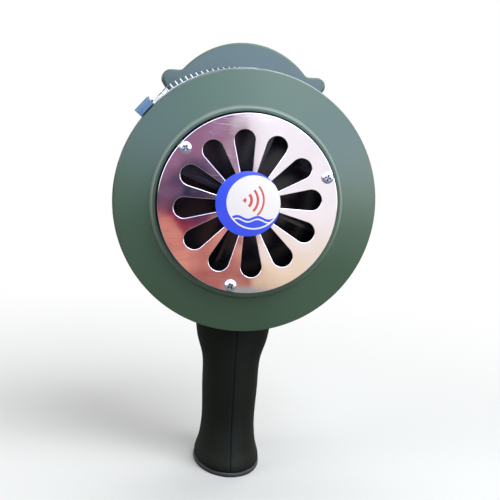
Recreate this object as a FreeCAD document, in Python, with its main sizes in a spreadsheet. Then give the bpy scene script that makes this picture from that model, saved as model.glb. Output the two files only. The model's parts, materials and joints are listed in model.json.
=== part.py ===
import FreeCAD, Part
import math
import os
import re

import Sketcher
from FreeCAD import Placement, Rotation, Vector

# Hand crank siren, in millimetres. +Z is up, +X is to the right of someone facing the intake,
# and the intake faces -Y. The origin is the middle of the oval foot, on the ground.
# The rotor and the crank turn about axes along Y, one above the other.

os.makedirs("parts", exist_ok=True)
doc = FreeCAD.newDocument("hand_crank_siren")

# ---------------------------------------------------------------- driving dimensions

DIMENSIONS = {
    # the two main axes
    "rotor_axis_height": 168,
    "crank_axis_rise": 46,
    # front dish: a shallow cone with a raised lip in front and a skirt behind
    "dish_radius": 78,
    "dish_edge_y": -35,
    "skirt_back_y": -17,
    "lip_radius": 55.6,
    "lip_foot_radius": 57,
    "lip_base_y": -39.5,
    "lip_front_y": -42.5,
    "throat_radius": 53.2,
    "throat_back_y": -30.5,
    "dish_wall": 3,
    # intake plate and its label
    "plate_radius": 52.5,
    "plate_front_y": -47,
    "plate_thickness": 1.2,
    "petal_count": 12,
    "petal_end_radius": 6.1,
    "petal_end_reach": 37.1,
    "petal_foot_reach": 17.8,
    "petal_foot_half": 3.4,
    "label_radius": 19,
    "label_thickness": 0.4,
    "plate_screw_count": 3,
    "plate_screw_reach": 48.8,
    "plate_turn": 6,
    "plate_screw_angle": 15,
    "plate_boss_radius": 3.4,
    # drum: the stator ring with its sound ports, closed by the back plate
    "drum_radius": 75.1,
    "drum_bore": 70.2,
    "drum_front_y": -31.2,
    "drum_back_y": 10.5,
    "port_count": 8,
    "port_width": 19,
    "port_front_y": -13,
    "port_back_y": 6,
    "back_plate_radius": 77,
    "back_plate_thickness": 3.5,
    "tie_reach": 72.65,
    "tie_angle": 38,
    # band clamp round the skirt
    "band_clearance": 0.05,
    "band_thickness": 0.5,
    "band_front_y": -31.5,
    "band_width": 12,
    "band_tail_start": 88,
    "band_tail_crest": 125,
    "band_tail_end": 135,
    "band_front_lift_share": 0.05,
    "band_back_lift": 3.6,
    "band_end_lift_share": 0.35,
    "band_slot_pitch": 2.34,
    "band_slot_count": 19,
    "band_slot_width": 1.8,
    "band_slot_margin": 1.6,
    "band_slot_length": 9.6,
    "clamp_angle": 140,
    "clamp_length": 10.6,
    "clamp_width": 14.4,
    "clamp_top": 84.2,
    "clamp_screw_reach": 81.8,
    "clamp_screw_radius": 2,
    "clamp_head_radius": 2.1,
    "clamp_head_length": 1.2,
    # rotor: back plate, hub, rim with ports, four long and four short vanes
    "rotor_radius": 69.6,
    "rotor_rim": 2.4,
    "rotor_front_y": -28.5,
    "rotor_back_y": 5,
    "rotor_web": 2,
    "rotor_eye": 56,
    "rotor_hub_radius": 9,
    "rotor_hub_front_y": -14,
    "vane_count": 4,
    "vane_thickness": 2,
    "short_vane_reach": 42,
    "rotor_port_back_y": 1.5,
    "rotor_phase": 69,
    # rotor shaft and its two ball bearings
    "shaft_radius": 4,
    "shaft_tail_radius": 2.5,
    "shaft_nose_y": -22,
    "shaft_step_y": 17.2,
    "shaft_end_y": 42.3,
    "front_bearing_radius": 11,
    "front_bearing_y": 8.5,
    "front_bearing_width": 7,
    "rear_bearing_radius": 8,
    "rear_bearing_y": 37.5,
    "rear_bearing_width": 5,
    "race_wall": 1.8,
    "rear_race_wall": 1.4,
    "ball_clearance": 0.05,
    "ball_count": 8,
    # gear case: two rounded lobes, one round each axis, with four screw ears
    "case_front_y": 14,
    "case_split_y": 33,
    "case_back_y": 46,
    "case_wall": 3,
    "case_top_radius": 49.8,
    "case_bottom_radius": 44,
    "gasket_thickness": 0.6,
    "ear_radius": 5.3,
    "ear_root_radius": 11.9,
    "ear_length": 14,
    "ear_reach": 53,
    "ear_angle": 61.5,
    "lower_ear_reach": 46.5,
    "lower_ear_angle": 125,
    "ear_fillet": 4,
    "case_edge_radius": 1.4,
    "cover_pad_inset": 8,
    "cover_pad_rise": 0.8,
    "case_bolt_reach": 31,
    # spur gears, one module throughout
    "gear_module": 0.8,
    "pressure_angle": 25,
    "tooth_addendum": 0.8,
    "tooth_dedendum": 1.05,
    "tooth_backlash": 0.12,
    "crank_gear_teeth": 80,
    "idler_pinion_teeth": 12,
    "idler_gear_teeth": 50,
    "rotor_pinion_teeth": 12,
    "crank_gear_y": 29,
    "crank_gear_width": 6,
    "crank_hub_radius": 11,
    "crank_hub_length": 2.5,
    "idler_gear_y": 20,
    "idler_gear_width": 5,
    "idler_pinion_length": 11,
    "idler_hub_radius": 6,
    "idler_pin_radius": 2,
    "rotor_pinion_back_y": 26.2,
    "running_gap": 0.05,
    # ratchet between the crank shaft and the crank gear
    "ratchet_y": 25.6,
    "ratchet_width": 3.2,
    "ratchet_teeth": 12,
    "ratchet_tip": 14,
    "ratchet_root": 11.5,
    "pawl_pin_reach": 19.5,
    "pawl_pin_radius": 1.4,
    "pawl_root": 2.8,
    "pawl_nose": 1,
    "pawl_length": 7,
    "pawl_nose_reach": 15.6,
    # crank
    "crank_shaft_radius": 6,
    "crank_seat_radius": 5,
    "crank_thread_radius": 4,
    "crank_shaft_front_y": 15.8,
    "crank_seat_y": 49.6,
    "crank_thread_y": 55,
    "crank_shaft_end_y": 63,
    "bush_radius": 9,
    "front_bush_y": 15.5,
    "front_bush_length": 8.5,
    "rear_bush_y": 39,
    "rear_bush_length": 10,
    "crank_throw": 62,
    "arm_hub_radius": 10,
    "arm_tip_radius": 8,
    "knob_pin_radius": 3,
    "knob_front_y": 56.2,
    "knob_back_y": 91.5,
    "knob_radius": 12.4,
    "knob_end_radius": 8.6,
    "knob_sink": 4,
    "knob_sink_radius": 5.8,
    # grip: a hollow oval column in two halves, on a rubber pad
    "pad_thickness": 2.5,
    "pad_half_width": 20.5,
    "pad_half_depth": 35.7,
    "grip_wall": 3,
    "seam_gap": 0.1,
    "saddle_gap": 0.15,
    "bracket_half_width": 6,
    "bracket_front_y": -12,
    "bracket_depth": 20,
    "bracket_foot_z": 52,
    "grip_boss_radius": 4.5,
    "grip_screw_radius": 1.5,
    # screws
    "pan_head_radius": 3.6,
    "pan_head_height": 2.2,
    "small_head_radius": 2.8,
    "small_head_height": 2,
    "screw_radius": 1.5,
    "hole_clearance": 0.05,
}

# Cross-sections of the grip from the foot to the saddle: height, half width, half depth.
GRIP_SECTIONS = {
    "foot": (2.5, 20.3, 35.4),
    "rim": (6, 20.0, 34.6),
    "ankle": (14, 17.8, 29.6),
    "waist": (27, 16.6, 25.6),
    "palm": (48, 17.4, 25.0),
    "thumb": (66, 18.2, 24.4),
    "neck": (80, 22.2, 24.3),
    "saddle": (98, 24.6, 24.8),
}
for section, (height, half_width, half_depth) in GRIP_SECTIONS.items():
    DIMENSIONS["grip_%s_height" % section] = height
    DIMENSIONS["grip_%s_width" % section] = half_width
    DIMENSIONS["grip_%s_depth" % section] = half_depth

sheet = doc.addObject("Spreadsheet::Sheet", "dims")
for row, (alias, number) in enumerate(DIMENSIONS.items(), start=1):
    sheet.set("A%d" % row, alias)
    sheet.set("B%d" % row, str(number))
    sheet.setAlias("B%d" % row, alias)
doc.recompute()

# ---------------------------------------------------------------- helpers

ALONG_Y = Rotation(Vector(1, 0, 0), -90)      # a cylinder's own Z points along +Y
ALONG_X = Rotation(Vector(0, 1, 0), 90)       # a cylinder's own Z points along +X
UPRIGHT = Rotation(Vector(1, 0, 0), 90)       # a flat sketch stands in the XZ plane
NODES = {}


def in_sheet(formula):
    """Write a formula of sheet aliases as an expression that any object can hold."""
    return re.sub(r"[a-z]\w*", lambda word: "dims." * (word[0] in DIMENSIONS) + word[0], str(formula))


def value(formula):
    """The number that a formula of sheet aliases stands for."""
    return float(sheet.evalExpression(in_sheet(formula)))


def bind(item, **formulas):
    """Bind properties of an object to formulas in the sheet."""
    for name, formula in formulas.items():
        item.setExpression(name, in_sheet(formula))


def place(item, x=0, y=0, z=0, rotation=Rotation()):
    """Place an object, with its position bound to the sheet."""
    item.Placement = Placement(Vector(value(x), value(y), value(z)), rotation)
    for axis, formula in zip("xyz", (x, y, z)):
        item.setExpression("Placement.Base." + axis, in_sheet(formula))
    return item


def rod(name, radius, length, x=0, y=0, z=0, rotation=ALONG_Y):
    """A cylinder, along +Y unless it is turned."""
    item = doc.addObject("Part::Cylinder", name)
    bind(item, Radius=radius, Height=length)
    return place(item, x, y, z, rotation)


def block(name, width, depth, height, x, y, z):
    """A box with its lowest corner at x, y, z."""
    item = doc.addObject("Part::Box", name)
    bind(item, Length=width, Width=depth, Height=height)
    return place(item, x, y, z)


def joined(name, *items):
    item = doc.addObject("Part::MultiFuse", name)
    item.Shapes = items
    return item


def cut(name, base, *tools):
    item = doc.addObject("Part::Cut", name)
    item.Base = base
    item.Tool = tools[0] if len(tools) == 1 else joined(name + "_cutters", *tools)
    return item


def common(name, first, second):
    item = doc.addObject("Part::Common", name)
    item.Base = first
    item.Tool = second
    return item


def ring(name, outer, inner, length, y, x=0, z="rotor_axis_height"):
    """A plain ring along +Y."""
    hole = rod(name + "_hole", inner, length, x, y, z)
    return cut(name, rod(name + "_rim", outer, length, x, y, z), hole)


def node(label, item):
    """Name a finished piece after its node."""
    item.Label = label
    NODES[label] = item
    return item


def rounded(name, base, radius, chosen):
    """Fillet the edges that the test picks."""
    doc.recompute()
    item = doc.addObject("Part::Fillet", name)
    item.Base = base
    edges = enumerate(base.Shape.Edges, start=1)
    item.Edges = [(index, radius, radius) for index, edge in edges if chosen(edge)]
    return item


def is_circle(edge, radius, y):
    """True for a circular edge of this radius in the plane at this y."""
    if not isinstance(edge.Curve, Part.Circle):
        return False
    near_plane = abs(edge.Curve.Center.y - y) < 0.01
    return near_plane and abs(edge.Curve.Radius - radius) < 0.01


def origin_feature(body, role):
    return next(item for item in body.Origin.OriginFeatures if item.Role == role)


def new_body(name, x=0, z=0, rotation=Rotation()):
    return place(doc.addObject("PartDesign::Body", name), x, 0, z, rotation)


def new_sketch(body, plane, offset=0):
    """A sketch on one of the body's own planes, moved along the plane's normal."""
    sketch = body.newObject("Sketcher::SketchObject", body.Name + "_sketch")
    sketch.AttachmentSupport = [(origin_feature(body, plane), "")]
    sketch.MapMode = "FlatFace"
    sketch.AttachmentOffset = Placement(Vector(0, 0, value(offset)), Rotation())
    sketch.setExpression("AttachmentOffset.Base.z", in_sheet(offset))
    return sketch


def hold_point(sketch, geometry, point, x, y):
    """Hold one point of a sketch by its two distances from the origin."""
    for kind, axis, formula in (("DistanceX", -2, x), ("DistanceY", -1, y)):
        if value(formula) == 0:
            sketch.addConstraint(Sketcher.Constraint("PointOnObject", geometry, point, axis))
            continue
        rule = Sketcher.Constraint(kind, -1, 1, geometry, point, value(formula))
        index = sketch.addConstraint(rule)
        sketch.setExpression("Constraints[%d]" % index, in_sheet(formula))


def add_outline(sketch, corners):
    """A closed polygon whose corners are all held by the sheet."""
    points = [Vector(value(x), value(y), 0) for x, y in corners]
    lines = [Part.LineSegment(start, end) for start, end in zip(points, points[1:] + points[:1])]
    first = sketch.addGeometry(lines, False)[0]
    count = len(lines)
    for step in range(count):
        following = first + (step + 1) % count
        sketch.addConstraint(Sketcher.Constraint("Coincident", first + step, 2, following, 1))
    for step, (x, y) in enumerate(corners):
        hold_point(sketch, first + step, 1, x, y)


def add_circle(sketch, radius, x=0, y=0):
    centre = Vector(value(x), value(y), 0)
    index = sketch.addGeometry(Part.Circle(centre, Vector(0, 0, 1), value(radius)), False)
    rule = sketch.addConstraint(Sketcher.Constraint("Radius", index, value(radius)))
    sketch.setExpression("Constraints[%d]" % rule, in_sheet(radius))
    hold_point(sketch, index, 3, x, y)


def turned(name, outline, x=0, z="rotor_axis_height", rotation=Rotation()):
    """A body turned about the Y axis through x, z; the outline lists (radius, y)."""
    body = new_body(name, x, z, rotation)
    sketch = new_sketch(body, "XY_Plane")
    add_outline(sketch, outline)
    turn = body.newObject("PartDesign::Revolution", name + "_turn")
    turn.Profile = sketch
    turn.ReferenceAxis = (sketch, ["V_Axis"])
    turn.Angle = 360
    return body


def extruded(kind, body, sketch, length, reverse):
    """A Pad or a Pocket of a sketch."""
    feature = body.newObject("PartDesign::" + kind, "%s_%s" % (body.Name, kind.lower()))
    feature.Profile = sketch
    feature.Reversed = reverse
    bind(feature, Length=length)
    return feature


def around(body, feature, count):
    """Repeat a feature round the body's own Y axis."""
    pattern = body.newObject("PartDesign::PolarPattern", body.Name + "_around")
    pattern.Originals = [feature]
    pattern.Axis = (origin_feature(body, "Y_Axis"), [""])
    pattern.Angle = 360
    bind(pattern, Occurrences=count)
    body.Tip = pattern


def lobes(name, low_radius, high_radius, gap, depth, x, y, z, turn=0):
    """Two circles joined by their tangents, drawn low to high and extruded along +Y."""
    low, high, distance = value(low_radius), value(high_radius), value(gap)
    lean = math.asin((low - high) / distance)
    across, along = math.cos(lean), math.sin(lean)
    sketch = doc.addObject("Sketcher::SketchObject", name + "_outline")
    low_circle = Part.Circle(Vector(), Vector(0, 0, 1), low)
    high_circle = Part.Circle(Vector(0, distance, 0), Vector(0, 0, 1), high)
    corner = [Vector(side * radius * across, rise + radius * along, 0)
              for side, radius, rise in ((1, low, 0), (1, high, distance), (-1, high, distance), (-1, low, 0))]
    sketch.addGeometry([
        Part.ArcOfCircle(low_circle, math.pi - lean, 2 * math.pi + lean),
        Part.LineSegment(corner[0], corner[1]),
        Part.ArcOfCircle(high_circle, lean, math.pi - lean),
        Part.LineSegment(corner[2], corner[3]),
    ], False)
    for first, second in ((0, 1), (1, 2), (2, 3), (3, 0)):
        sketch.addConstraint(Sketcher.Constraint("Tangent", first, 2, second, 1))
    hold_point(sketch, 0, 3, 0, 0)
    hold_point(sketch, 2, 3, 0, gap)
    for arc, radius in ((0, low_radius), (2, high_radius)):
        index = sketch.addConstraint(Sketcher.Constraint("Radius", arc, value(radius)))
        sketch.setExpression("Constraints[%d]" % index, in_sheet(radius))
    place(sketch, x, y, z, Rotation(Vector(0, 1, 0), turn) * UPRIGHT)
    item = doc.addObject("Part::Extrusion", name)
    item.Base = sketch
    item.DirMode = "Custom"
    item.Dir = Vector(0, 1, 0)
    item.Solid = True
    bind(item, LengthFwd=depth)
    return item


def on_circle(reach, angle):
    """Formulas for x and z at this reach and angle from +X, about the rotor axis."""
    across = "(%s) * cos(%s)" % (reach, angle)
    up = "rotor_axis_height + (%s) * sin(%s)" % (reach, angle)
    return across, up


def rods_on_circle(name, radius, length, reach, angles, y):
    """Cylinders along +Y at several angles about the rotor axis."""
    spots = [on_circle(reach, angle) for angle in angles]
    return [rod("%s_%d" % (name, number), radius, length, x, y, z)
            for number, (x, z) in enumerate(spots, start=1)]


def grouped(label, item, placements):
    """One node that holds the same piece at several places, each a solid of its own."""
    doc.recompute()
    copies = []
    for placement in placements:
        copy = item.Shape.copy()
        copy.Placement = placement.multiply(copy.Placement)
        copies.append(copy)
    group = doc.addObject("Part::Feature", label + "_group")
    group.Shape = Part.makeCompound(copies)
    return node(label, group)


def pan_screw(name, head_radius, head_height, radius, length):
    """A cross-head pan screw: its head stands on the XZ plane towards -Y, its shank is along +Y."""
    blank = turned(name, [
        (0, "-(%s)" % head_height),
        ("0.6 * (%s)" % head_radius, "-(%s)" % head_height),
        ("0.9 * (%s)" % head_radius, "-0.72 * (%s)" % head_height),
        (head_radius, "-0.4 * (%s)" % head_height),
        (head_radius, 0),
        (radius, 0),
        (radius, length),
        (0, length),
    ], z=0)
    slot_length, slot_width = "1.1 * (%s)" % head_radius, "0.26 * (%s)" % head_radius
    slot_depth, floor = "0.6 * (%s)" % head_height, "-1.01 * (%s)" % head_height
    flat = block(name + "_slot_across", slot_length, slot_depth, slot_width,
                 "-(%s) / 2" % slot_length, floor, "-(%s) / 2" % slot_width)
    tall = block(name + "_slot_up", slot_width, slot_depth, slot_length,
                 "-(%s) / 2" % slot_width, floor, "-(%s) / 2" % slot_length)
    return cut(name + "_cut", blank, flat, tall)


def hex_nut(name, radius, bore, length, x, y, z):
    """A hexagonal nut along +Y; the radius is that of its corners."""
    prism = doc.addObject("Part::Prism", name + "_hexagon")
    prism.Polygon = 6
    bind(prism, Circumradius=radius, Height=length)
    place(prism, x, y, z, ALONG_Y)
    return cut(name, prism, rod(name + "_bore", bore, length, x, y, z))


def gear_face(teeth, phase):
    """The flat outline of an involute spur gear in the XZ plane, with one tooth centred at phase."""
    module = value("gear_module")
    tilt = math.radians(value("pressure_angle"))
    pitch = module * teeth / 2
    base = pitch * math.cos(tilt)
    tip = pitch + value("tooth_addendum") * module
    root = pitch - value("tooth_dedendum") * module
    start = max(base, root)
    half_tooth = (math.pi * module / 2 - value("tooth_backlash")) / (2 * pitch)

    def spot(radius, angle):
        return Vector(radius * math.cos(angle), 0, radius * math.sin(angle))

    def half_angle(radius):
        slope = math.acos(min(1, base / radius))
        return half_tooth + math.tan(tilt) - tilt - math.tan(slope) + slope

    edges = []
    for tooth in range(teeth):
        middle = phase + 2 * math.pi * tooth / teeth
        after = phase + 2 * math.pi * (tooth + 1) / teeth
        for side in (-1, 1):
            flank = [spot(radius, middle + side * half_angle(radius))
                     for radius in (start, (start + tip) / 2, tip)]
            if root < start:
                foot = spot(root, middle + side * half_angle(start))
                edges.append(Part.LineSegment(foot, flank[0]).toShape())
            edges.append(Part.Arc(*flank).toShape())
        crown = half_angle(tip)
        edges.append(Part.Arc(*[spot(tip, middle + turn) for turn in (-crown, 0, crown)]).toShape())
        left, right = middle + half_angle(start), after - half_angle(start)
        valley = [spot(root, angle) for angle in (left, (left + right) / 2, right)]
        edges.append(Part.Arc(*valley).toShape())
    return Part.Face(Part.Wire(Part.__sortEdges__(edges)))


def toothed(name, teeth, phase, width, x, y, z):
    """A spur gear blank without its bore."""
    item = doc.addObject("Part::Feature", name)
    item.Shape = gear_face(int(value(teeth)), phase).extrude(Vector(0, value(width), 0))
    return place(item, x, y, z)


# The intermediate axle stands where the two gear pairs meet.
STAGE_ONE = "gear_module * (crank_gear_teeth + idler_pinion_teeth) / 2"
STAGE_TWO = "gear_module * (idler_gear_teeth + rotor_pinion_teeth) / 2"
IDLER_RISE = "(((%s)^2 - (%s)^2 + crank_axis_rise^2) / (2 * crank_axis_rise))" % (STAGE_TWO, STAGE_ONE)
IDLER_X = "sqrt((%s)^2 - %s^2)" % (STAGE_TWO, IDLER_RISE)
IDLER_Z = "rotor_axis_height + %s" % IDLER_RISE
ROTOR_Z = "rotor_axis_height"
CRANK_Z = "rotor_axis_height + crank_axis_rise"
KNOB_Z = "rotor_axis_height + crank_axis_rise - crank_throw"

# ---------------------------------------------------------------- front dish

dish = turned("dish_shell", [
    ("throat_radius", "lip_front_y"),
    ("lip_radius", "lip_front_y"),
    ("lip_foot_radius", "lip_base_y"),
    ("dish_radius", "dish_edge_y"),
    ("dish_radius", "skirt_back_y"),
    ("drum_radius + hole_clearance", "skirt_back_y"),
    ("drum_radius + hole_clearance", "drum_front_y"),
    ("drum_bore - 0.4", "drum_front_y"),
    ("drum_bore - 0.4", "drum_front_y - 2.4"),
    ("throat_radius + dish_wall", "lip_base_y + dish_wall + 0.1"),
    ("throat_radius + dish_wall", "throat_back_y"),
    ("throat_radius", "throat_back_y"),
])
edge_circles = (
    (value("dish_radius"), value("dish_edge_y")),
    (value("lip_radius"), value("lip_front_y")),
    (value("throat_radius"), value("lip_front_y")),
)
smooth_dish = rounded("dish_rounded", dish, 0.9,
                      lambda edge: any(is_circle(edge, radius, y) for radius, y in edge_circles))

PLATE_SCREW_ANGLES = ["plate_turn + plate_screw_angle + %d" % turn for turn in (0, 120, 240)]
PLATE_BACK = "plate_front_y + plate_thickness"
bosses = rods_on_circle("plate_boss", "plate_boss_radius", "throat_back_y - (%s)" % PLATE_BACK,
                        "plate_screw_reach", PLATE_SCREW_ANGLES, PLATE_BACK)
webs = []
for number, angle in enumerate(PLATE_SCREW_ANGLES, start=1):
    web = block("plate_boss_web_%d" % number, 5.5, "throat_back_y - lip_front_y - 1.5", 4.4,
                0, "lip_front_y + 1.5", 0)
    web_x, web_z = on_circle("plate_screw_reach", angle)
    turn = Rotation(Vector(0, 1, 0), -value(angle))
    sideways = turn.multVec(Vector(0, 0, -2.2))
    place(web, "%s + %f" % (web_x, sideways.x), "lip_front_y + 1.5", "%s + %f" % (web_z, sideways.z), turn)
    webs.append(web)
plate_screw_holes = rods_on_circle("plate_screw_hole", "screw_radius", 9.8, "plate_screw_reach",
                                   PLATE_SCREW_ANGLES, PLATE_BACK)
TIE_ANGLES = ["tie_angle", "180 - tie_angle", "180 + tie_angle", "-tie_angle"]
dish_tie_holes = rods_on_circle("dish_tie_hole", "screw_radius", 3.2, "tie_reach", TIE_ANGLES,
                                "drum_front_y - 3.2")
node("front_dish", cut("dish_drilled", joined("dish_with_bosses", smooth_dish, *bosses, *webs),
                       *plate_screw_holes, *dish_tie_holes))

# ---------------------------------------------------------------- intake plate, label and screws


def draw_petal(sketch):
    """A petal slot: straight sides that widen outwards to a round outer end."""
    radius, reach = value("petal_end_radius"), value("petal_end_reach")
    foot, half = value("petal_foot_reach"), value("petal_foot_half")
    lean = math.asin(radius / math.hypot(reach - foot, half)) - math.atan2(half, reach - foot)
    touch_x = reach - radius * math.sin(lean)
    touch_y = radius * math.cos(lean)
    swing = math.atan2(touch_y, touch_x - reach)
    corners = [Vector(foot, half, 0), Vector(foot, -half, 0),
               Vector(touch_x, -touch_y, 0), Vector(touch_x, touch_y, 0)]
    sketch.addGeometry([
        Part.LineSegment(corners[0], corners[1]),
        Part.LineSegment(corners[1], corners[2]),
        Part.ArcOfCircle(Part.Circle(Vector(reach, 0, 0), Vector(0, 0, 1), radius), -swing, swing),
        Part.LineSegment(corners[3], corners[0]),
    ], False)
    for rule, first, second in (("Coincident", 0, 1), ("Tangent", 1, 2), ("Tangent", 2, 3),
                                ("Coincident", 3, 0)):
        sketch.addConstraint(Sketcher.Constraint(rule, first, 2, second, 1))
    hold_point(sketch, 0, 1, "petal_foot_reach", "petal_foot_half")
    hold_point(sketch, 0, 2, "petal_foot_reach", "-petal_foot_half")
    hold_point(sketch, 2, 3, "petal_end_reach", 0)
    index = sketch.addConstraint(Sketcher.Constraint("Radius", 2, radius))
    sketch.setExpression("Constraints[%d]" % index, in_sheet("petal_end_radius"))


plate = new_body("plate_body", z=ROTOR_Z, rotation=Rotation(Vector(0, 1, 0), -value("plate_turn")))
disc_sketch = new_sketch(plate, "XZ_Plane", "-plate_front_y")
add_circle(disc_sketch, "plate_radius")
extruded("Pad", plate, disc_sketch, "plate_thickness", True)
petal_sketch = new_sketch(plate, "XZ_Plane", "-plate_front_y")
draw_petal(petal_sketch)
around(plate, extruded("Pocket", plate, petal_sketch, "plate_thickness", False), "petal_count")

plate_holes = rods_on_circle("plate_hole", "screw_radius + hole_clearance", "plate_thickness",
                             "plate_screw_reach", PLATE_SCREW_ANGLES, "plate_front_y")
smooth_plate = rounded("plate_rounded", plate, 0.45,
                       lambda edge: is_circle(edge, value("plate_radius"), value("plate_front_y")))
node("intake_plate", cut("plate_drilled", smooth_plate, *plate_holes))

node("label_disc", rod("label", "label_radius", "label_thickness",
                       y="plate_front_y - label_thickness", z=ROTOR_Z))


def at_angle(reach, angle, y, flip=False):
    """A placement at a reach and angle about the rotor axis, facing the front or the back."""
    x, z = on_circle(reach, angle)
    turn = Rotation(Vector(0, 0, 1), 180) if flip else Rotation()
    return Placement(Vector(value(x), value(y), value(z)), turn)


plate_screw = pan_screw("plate_screw", "pan_head_radius", "pan_head_height", "screw_radius", 10)
grouped("plate_screws", plate_screw,
        [at_angle("plate_screw_reach", angle, "plate_front_y") for angle in PLATE_SCREW_ANGLES])

# ---------------------------------------------------------------- drum

drum = turned("drum_body", [
    ("drum_bore", "drum_front_y"),
    ("drum_radius", "drum_front_y"),
    ("drum_radius", "drum_back_y"),
    ("drum_bore", "drum_back_y"),
])
port = new_sketch(drum, "XY_Plane", "drum_bore - 5")
add_outline(port, [
    ("-port_width / 2", "port_front_y"),
    ("port_width / 2", "port_front_y"),
    ("port_width / 2", "port_back_y"),
    ("-port_width / 2", "port_back_y"),
])
around(drum, extruded("Pocket", drum, port, 12, True), "port_count")
# The ports straddle the vertical, so that solid wall stands under the drum for the grip.
place(drum, 0, 0, ROTOR_Z, Rotation(Vector(0, 1, 0), 22.5))

drum_tie_holes = rods_on_circle("drum_tie_hole", "screw_radius + hole_clearance",
                                "drum_back_y - drum_front_y", "tie_reach", TIE_ANGLES, "drum_front_y")
BRACKET_SCREW_Y = ("bracket_front_y + 5", "bracket_front_y + bracket_depth - 5")
DOWN = Rotation(Vector(1, 0, 0), 180)         # a cylinder's own Z points down
drum_grip_holes = []
for number, y in enumerate(BRACKET_SCREW_Y, start=1):
    top = "rotor_axis_height - drum_bore + 2"
    drum_grip_holes.append(rod("drum_grip_hole_%d" % number, 2.05, 12, 0, y, top, DOWN))
    drum_grip_holes.append(rod("drum_grip_sink_%d" % number, 3.8, 4.4, 0, y, top, DOWN))
node("stator_ring", cut("drum_drilled", drum, *drum_tie_holes, *drum_grip_holes))

back = turned("back_body", [
    ("shaft_radius + 2.5", "front_bearing_y - 1.3"),
    ("front_bearing_radius + 3.5", "front_bearing_y - 1.3"),
    ("front_bearing_radius + 3.5", "drum_back_y"),
    ("drum_bore - 2.8", "drum_back_y"),
    ("drum_bore - 2.8", "drum_back_y - 3.3"),
    ("drum_bore - 0.1", "drum_back_y - 3.3"),
    ("drum_bore - 0.1", "drum_back_y"),
    ("back_plate_radius", "drum_back_y"),
    ("back_plate_radius", "case_front_y"),
    ("front_bearing_radius", "case_front_y"),
    ("front_bearing_radius", "front_bearing_y"),
    ("shaft_radius + 2.5", "front_bearing_y"),
])
smooth_back = rounded("back_rounded", back, 0.8,
                      lambda edge: is_circle(edge, value("back_plate_radius"), value("case_front_y")))
back_tie_holes = rods_on_circle("back_tie_hole", "screw_radius + hole_clearance",
                                "back_plate_thickness", "tie_reach", TIE_ANGLES, "drum_back_y")
CASE_BOLT_ANGLES = [210, 270, 330, 120]
back_bolt_holes = rods_on_circle("back_bolt_hole", "screw_radius", "back_plate_thickness",
                                 "case_bolt_reach", CASE_BOLT_ANGLES, "drum_back_y")
node("drum_back", cut("back_drilled", smooth_back, *back_tie_holes, *back_bolt_holes))

tie_screw = pan_screw("tie_screw", "small_head_radius", "small_head_height", "screw_radius",
                      "case_front_y - drum_front_y + 3")
grouped("tie_screws", tie_screw, [at_angle("tie_reach", angle, "case_front_y", True) for angle in TIE_ANGLES])

# ---------------------------------------------------------------- band clamp

BAND_INNER = "dish_radius + band_clearance"
BAND_OUTER = "dish_radius + band_clearance + band_thickness"
band_ring = ring("band_ring", BAND_OUTER, BAND_INNER, "band_width", "band_front_y")


def tail_lift(angle):
    """How far the tail's back edge stands off the band: it climbs to a crest, then dips to the housing."""
    start, crest, end = value("band_tail_start"), value("band_tail_crest"), value("band_tail_end")
    climb = (angle - start) / (crest - start)
    end_share = value("band_end_lift_share")
    dip = end_share + (1 - end_share) * (end - angle) / (end - crest)
    return value("band_back_lift") * min(climb, dip)


def band_section(angle):
    """The tail's cross-section at an angle: the higher it lifts, the more it leans outwards."""
    root = value(BAND_OUTER) - value("band_thickness") / 2
    lift = tail_lift(angle)
    front = root + lift * value("band_front_lift_share")
    back_radius = root + lift
    front_y = value("band_front_y")
    back_y = front_y + value("band_width")
    thickness = value("band_thickness")
    outline = ((front, front_y), (back_radius, back_y), (back_radius + thickness, back_y),
               (front + thickness, front_y), (front, front_y))
    heading = math.radians(angle)
    axis_height = value(ROTOR_Z)
    return Part.makePolygon([Vector(radius * math.cos(heading), y, axis_height + radius * math.sin(heading))
                             for radius, y in outline])


TAIL_STATIONS = 15
tail_start, tail_end = value("band_tail_start"), value("band_tail_end")
tail_angles = [tail_start + (tail_end - tail_start) * step / (TAIL_STATIONS - 1)
               for step in range(TAIL_STATIONS)]
tail = doc.addObject("Part::Feature", "band_tail")
tail.Shape = Part.makeLoft([band_section(angle) for angle in tail_angles], True, False)

SLOT_FRONT_Y = "band_front_y + band_slot_margin"
band_slots = []
for number in range(int(value("band_slot_count"))):
    angle = "band_tail_start + 2.4 + %d * band_slot_pitch" % number
    slot = block("band_slot_%d" % (number + 1), 8, "band_slot_length", "band_slot_width", 0, 0, 0)
    slot_x, slot_z = on_circle("dish_radius + band_clearance + band_thickness * 1.1", angle)
    turn = Rotation(Vector(0, 1, 0), -value(angle))
    sideways = turn.multVec(Vector(0, 0, -value("band_slot_width") / 2))
    place(slot, "%s + %f" % (slot_x, sideways.x), SLOT_FRONT_Y, "%s + %f" % (slot_z, sideways.z), turn)
    band_slots.append(slot)
node("clamp_band", joined("band_joined", band_ring, cut("band_tail_slotted", tail, *band_slots)))

CLAMP_TURN = Placement(Vector(), Rotation(Vector(0, 1, 0), 90 - value("clamp_angle")),
                       Vector(0, 0, value(ROTOR_Z)))
CLAMP_Y = "band_front_y + band_width / 2"
CLAMP_FLOOR = BAND_OUTER + " + band_clearance"
clamp_blank = block("clamp_blank", "clamp_length", "clamp_width", "clamp_top - (%s)" % CLAMP_FLOOR,
                    "-clamp_length / 2", "band_front_y + (band_width - clamp_width) / 2",
                    "rotor_axis_height + " + CLAMP_FLOOR)
smooth_clamp = rounded("clamp_rounded", clamp_blank, 1.3,
                       lambda edge: edge.BoundBox.ZMin > value("rotor_axis_height + clamp_top") - 0.01
                       and edge.BoundBox.XLength > 1)
clamp_bore = rod("clamp_bore", "clamp_screw_radius + hole_clearance", "clamp_length", "-clamp_length / 2",
                 CLAMP_Y, "rotor_axis_height + clamp_screw_reach", ALONG_X)
housing = node("clamp_housing", cut("clamp_bored", smooth_clamp, clamp_bore))
housing.Placement = CLAMP_TURN

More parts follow.
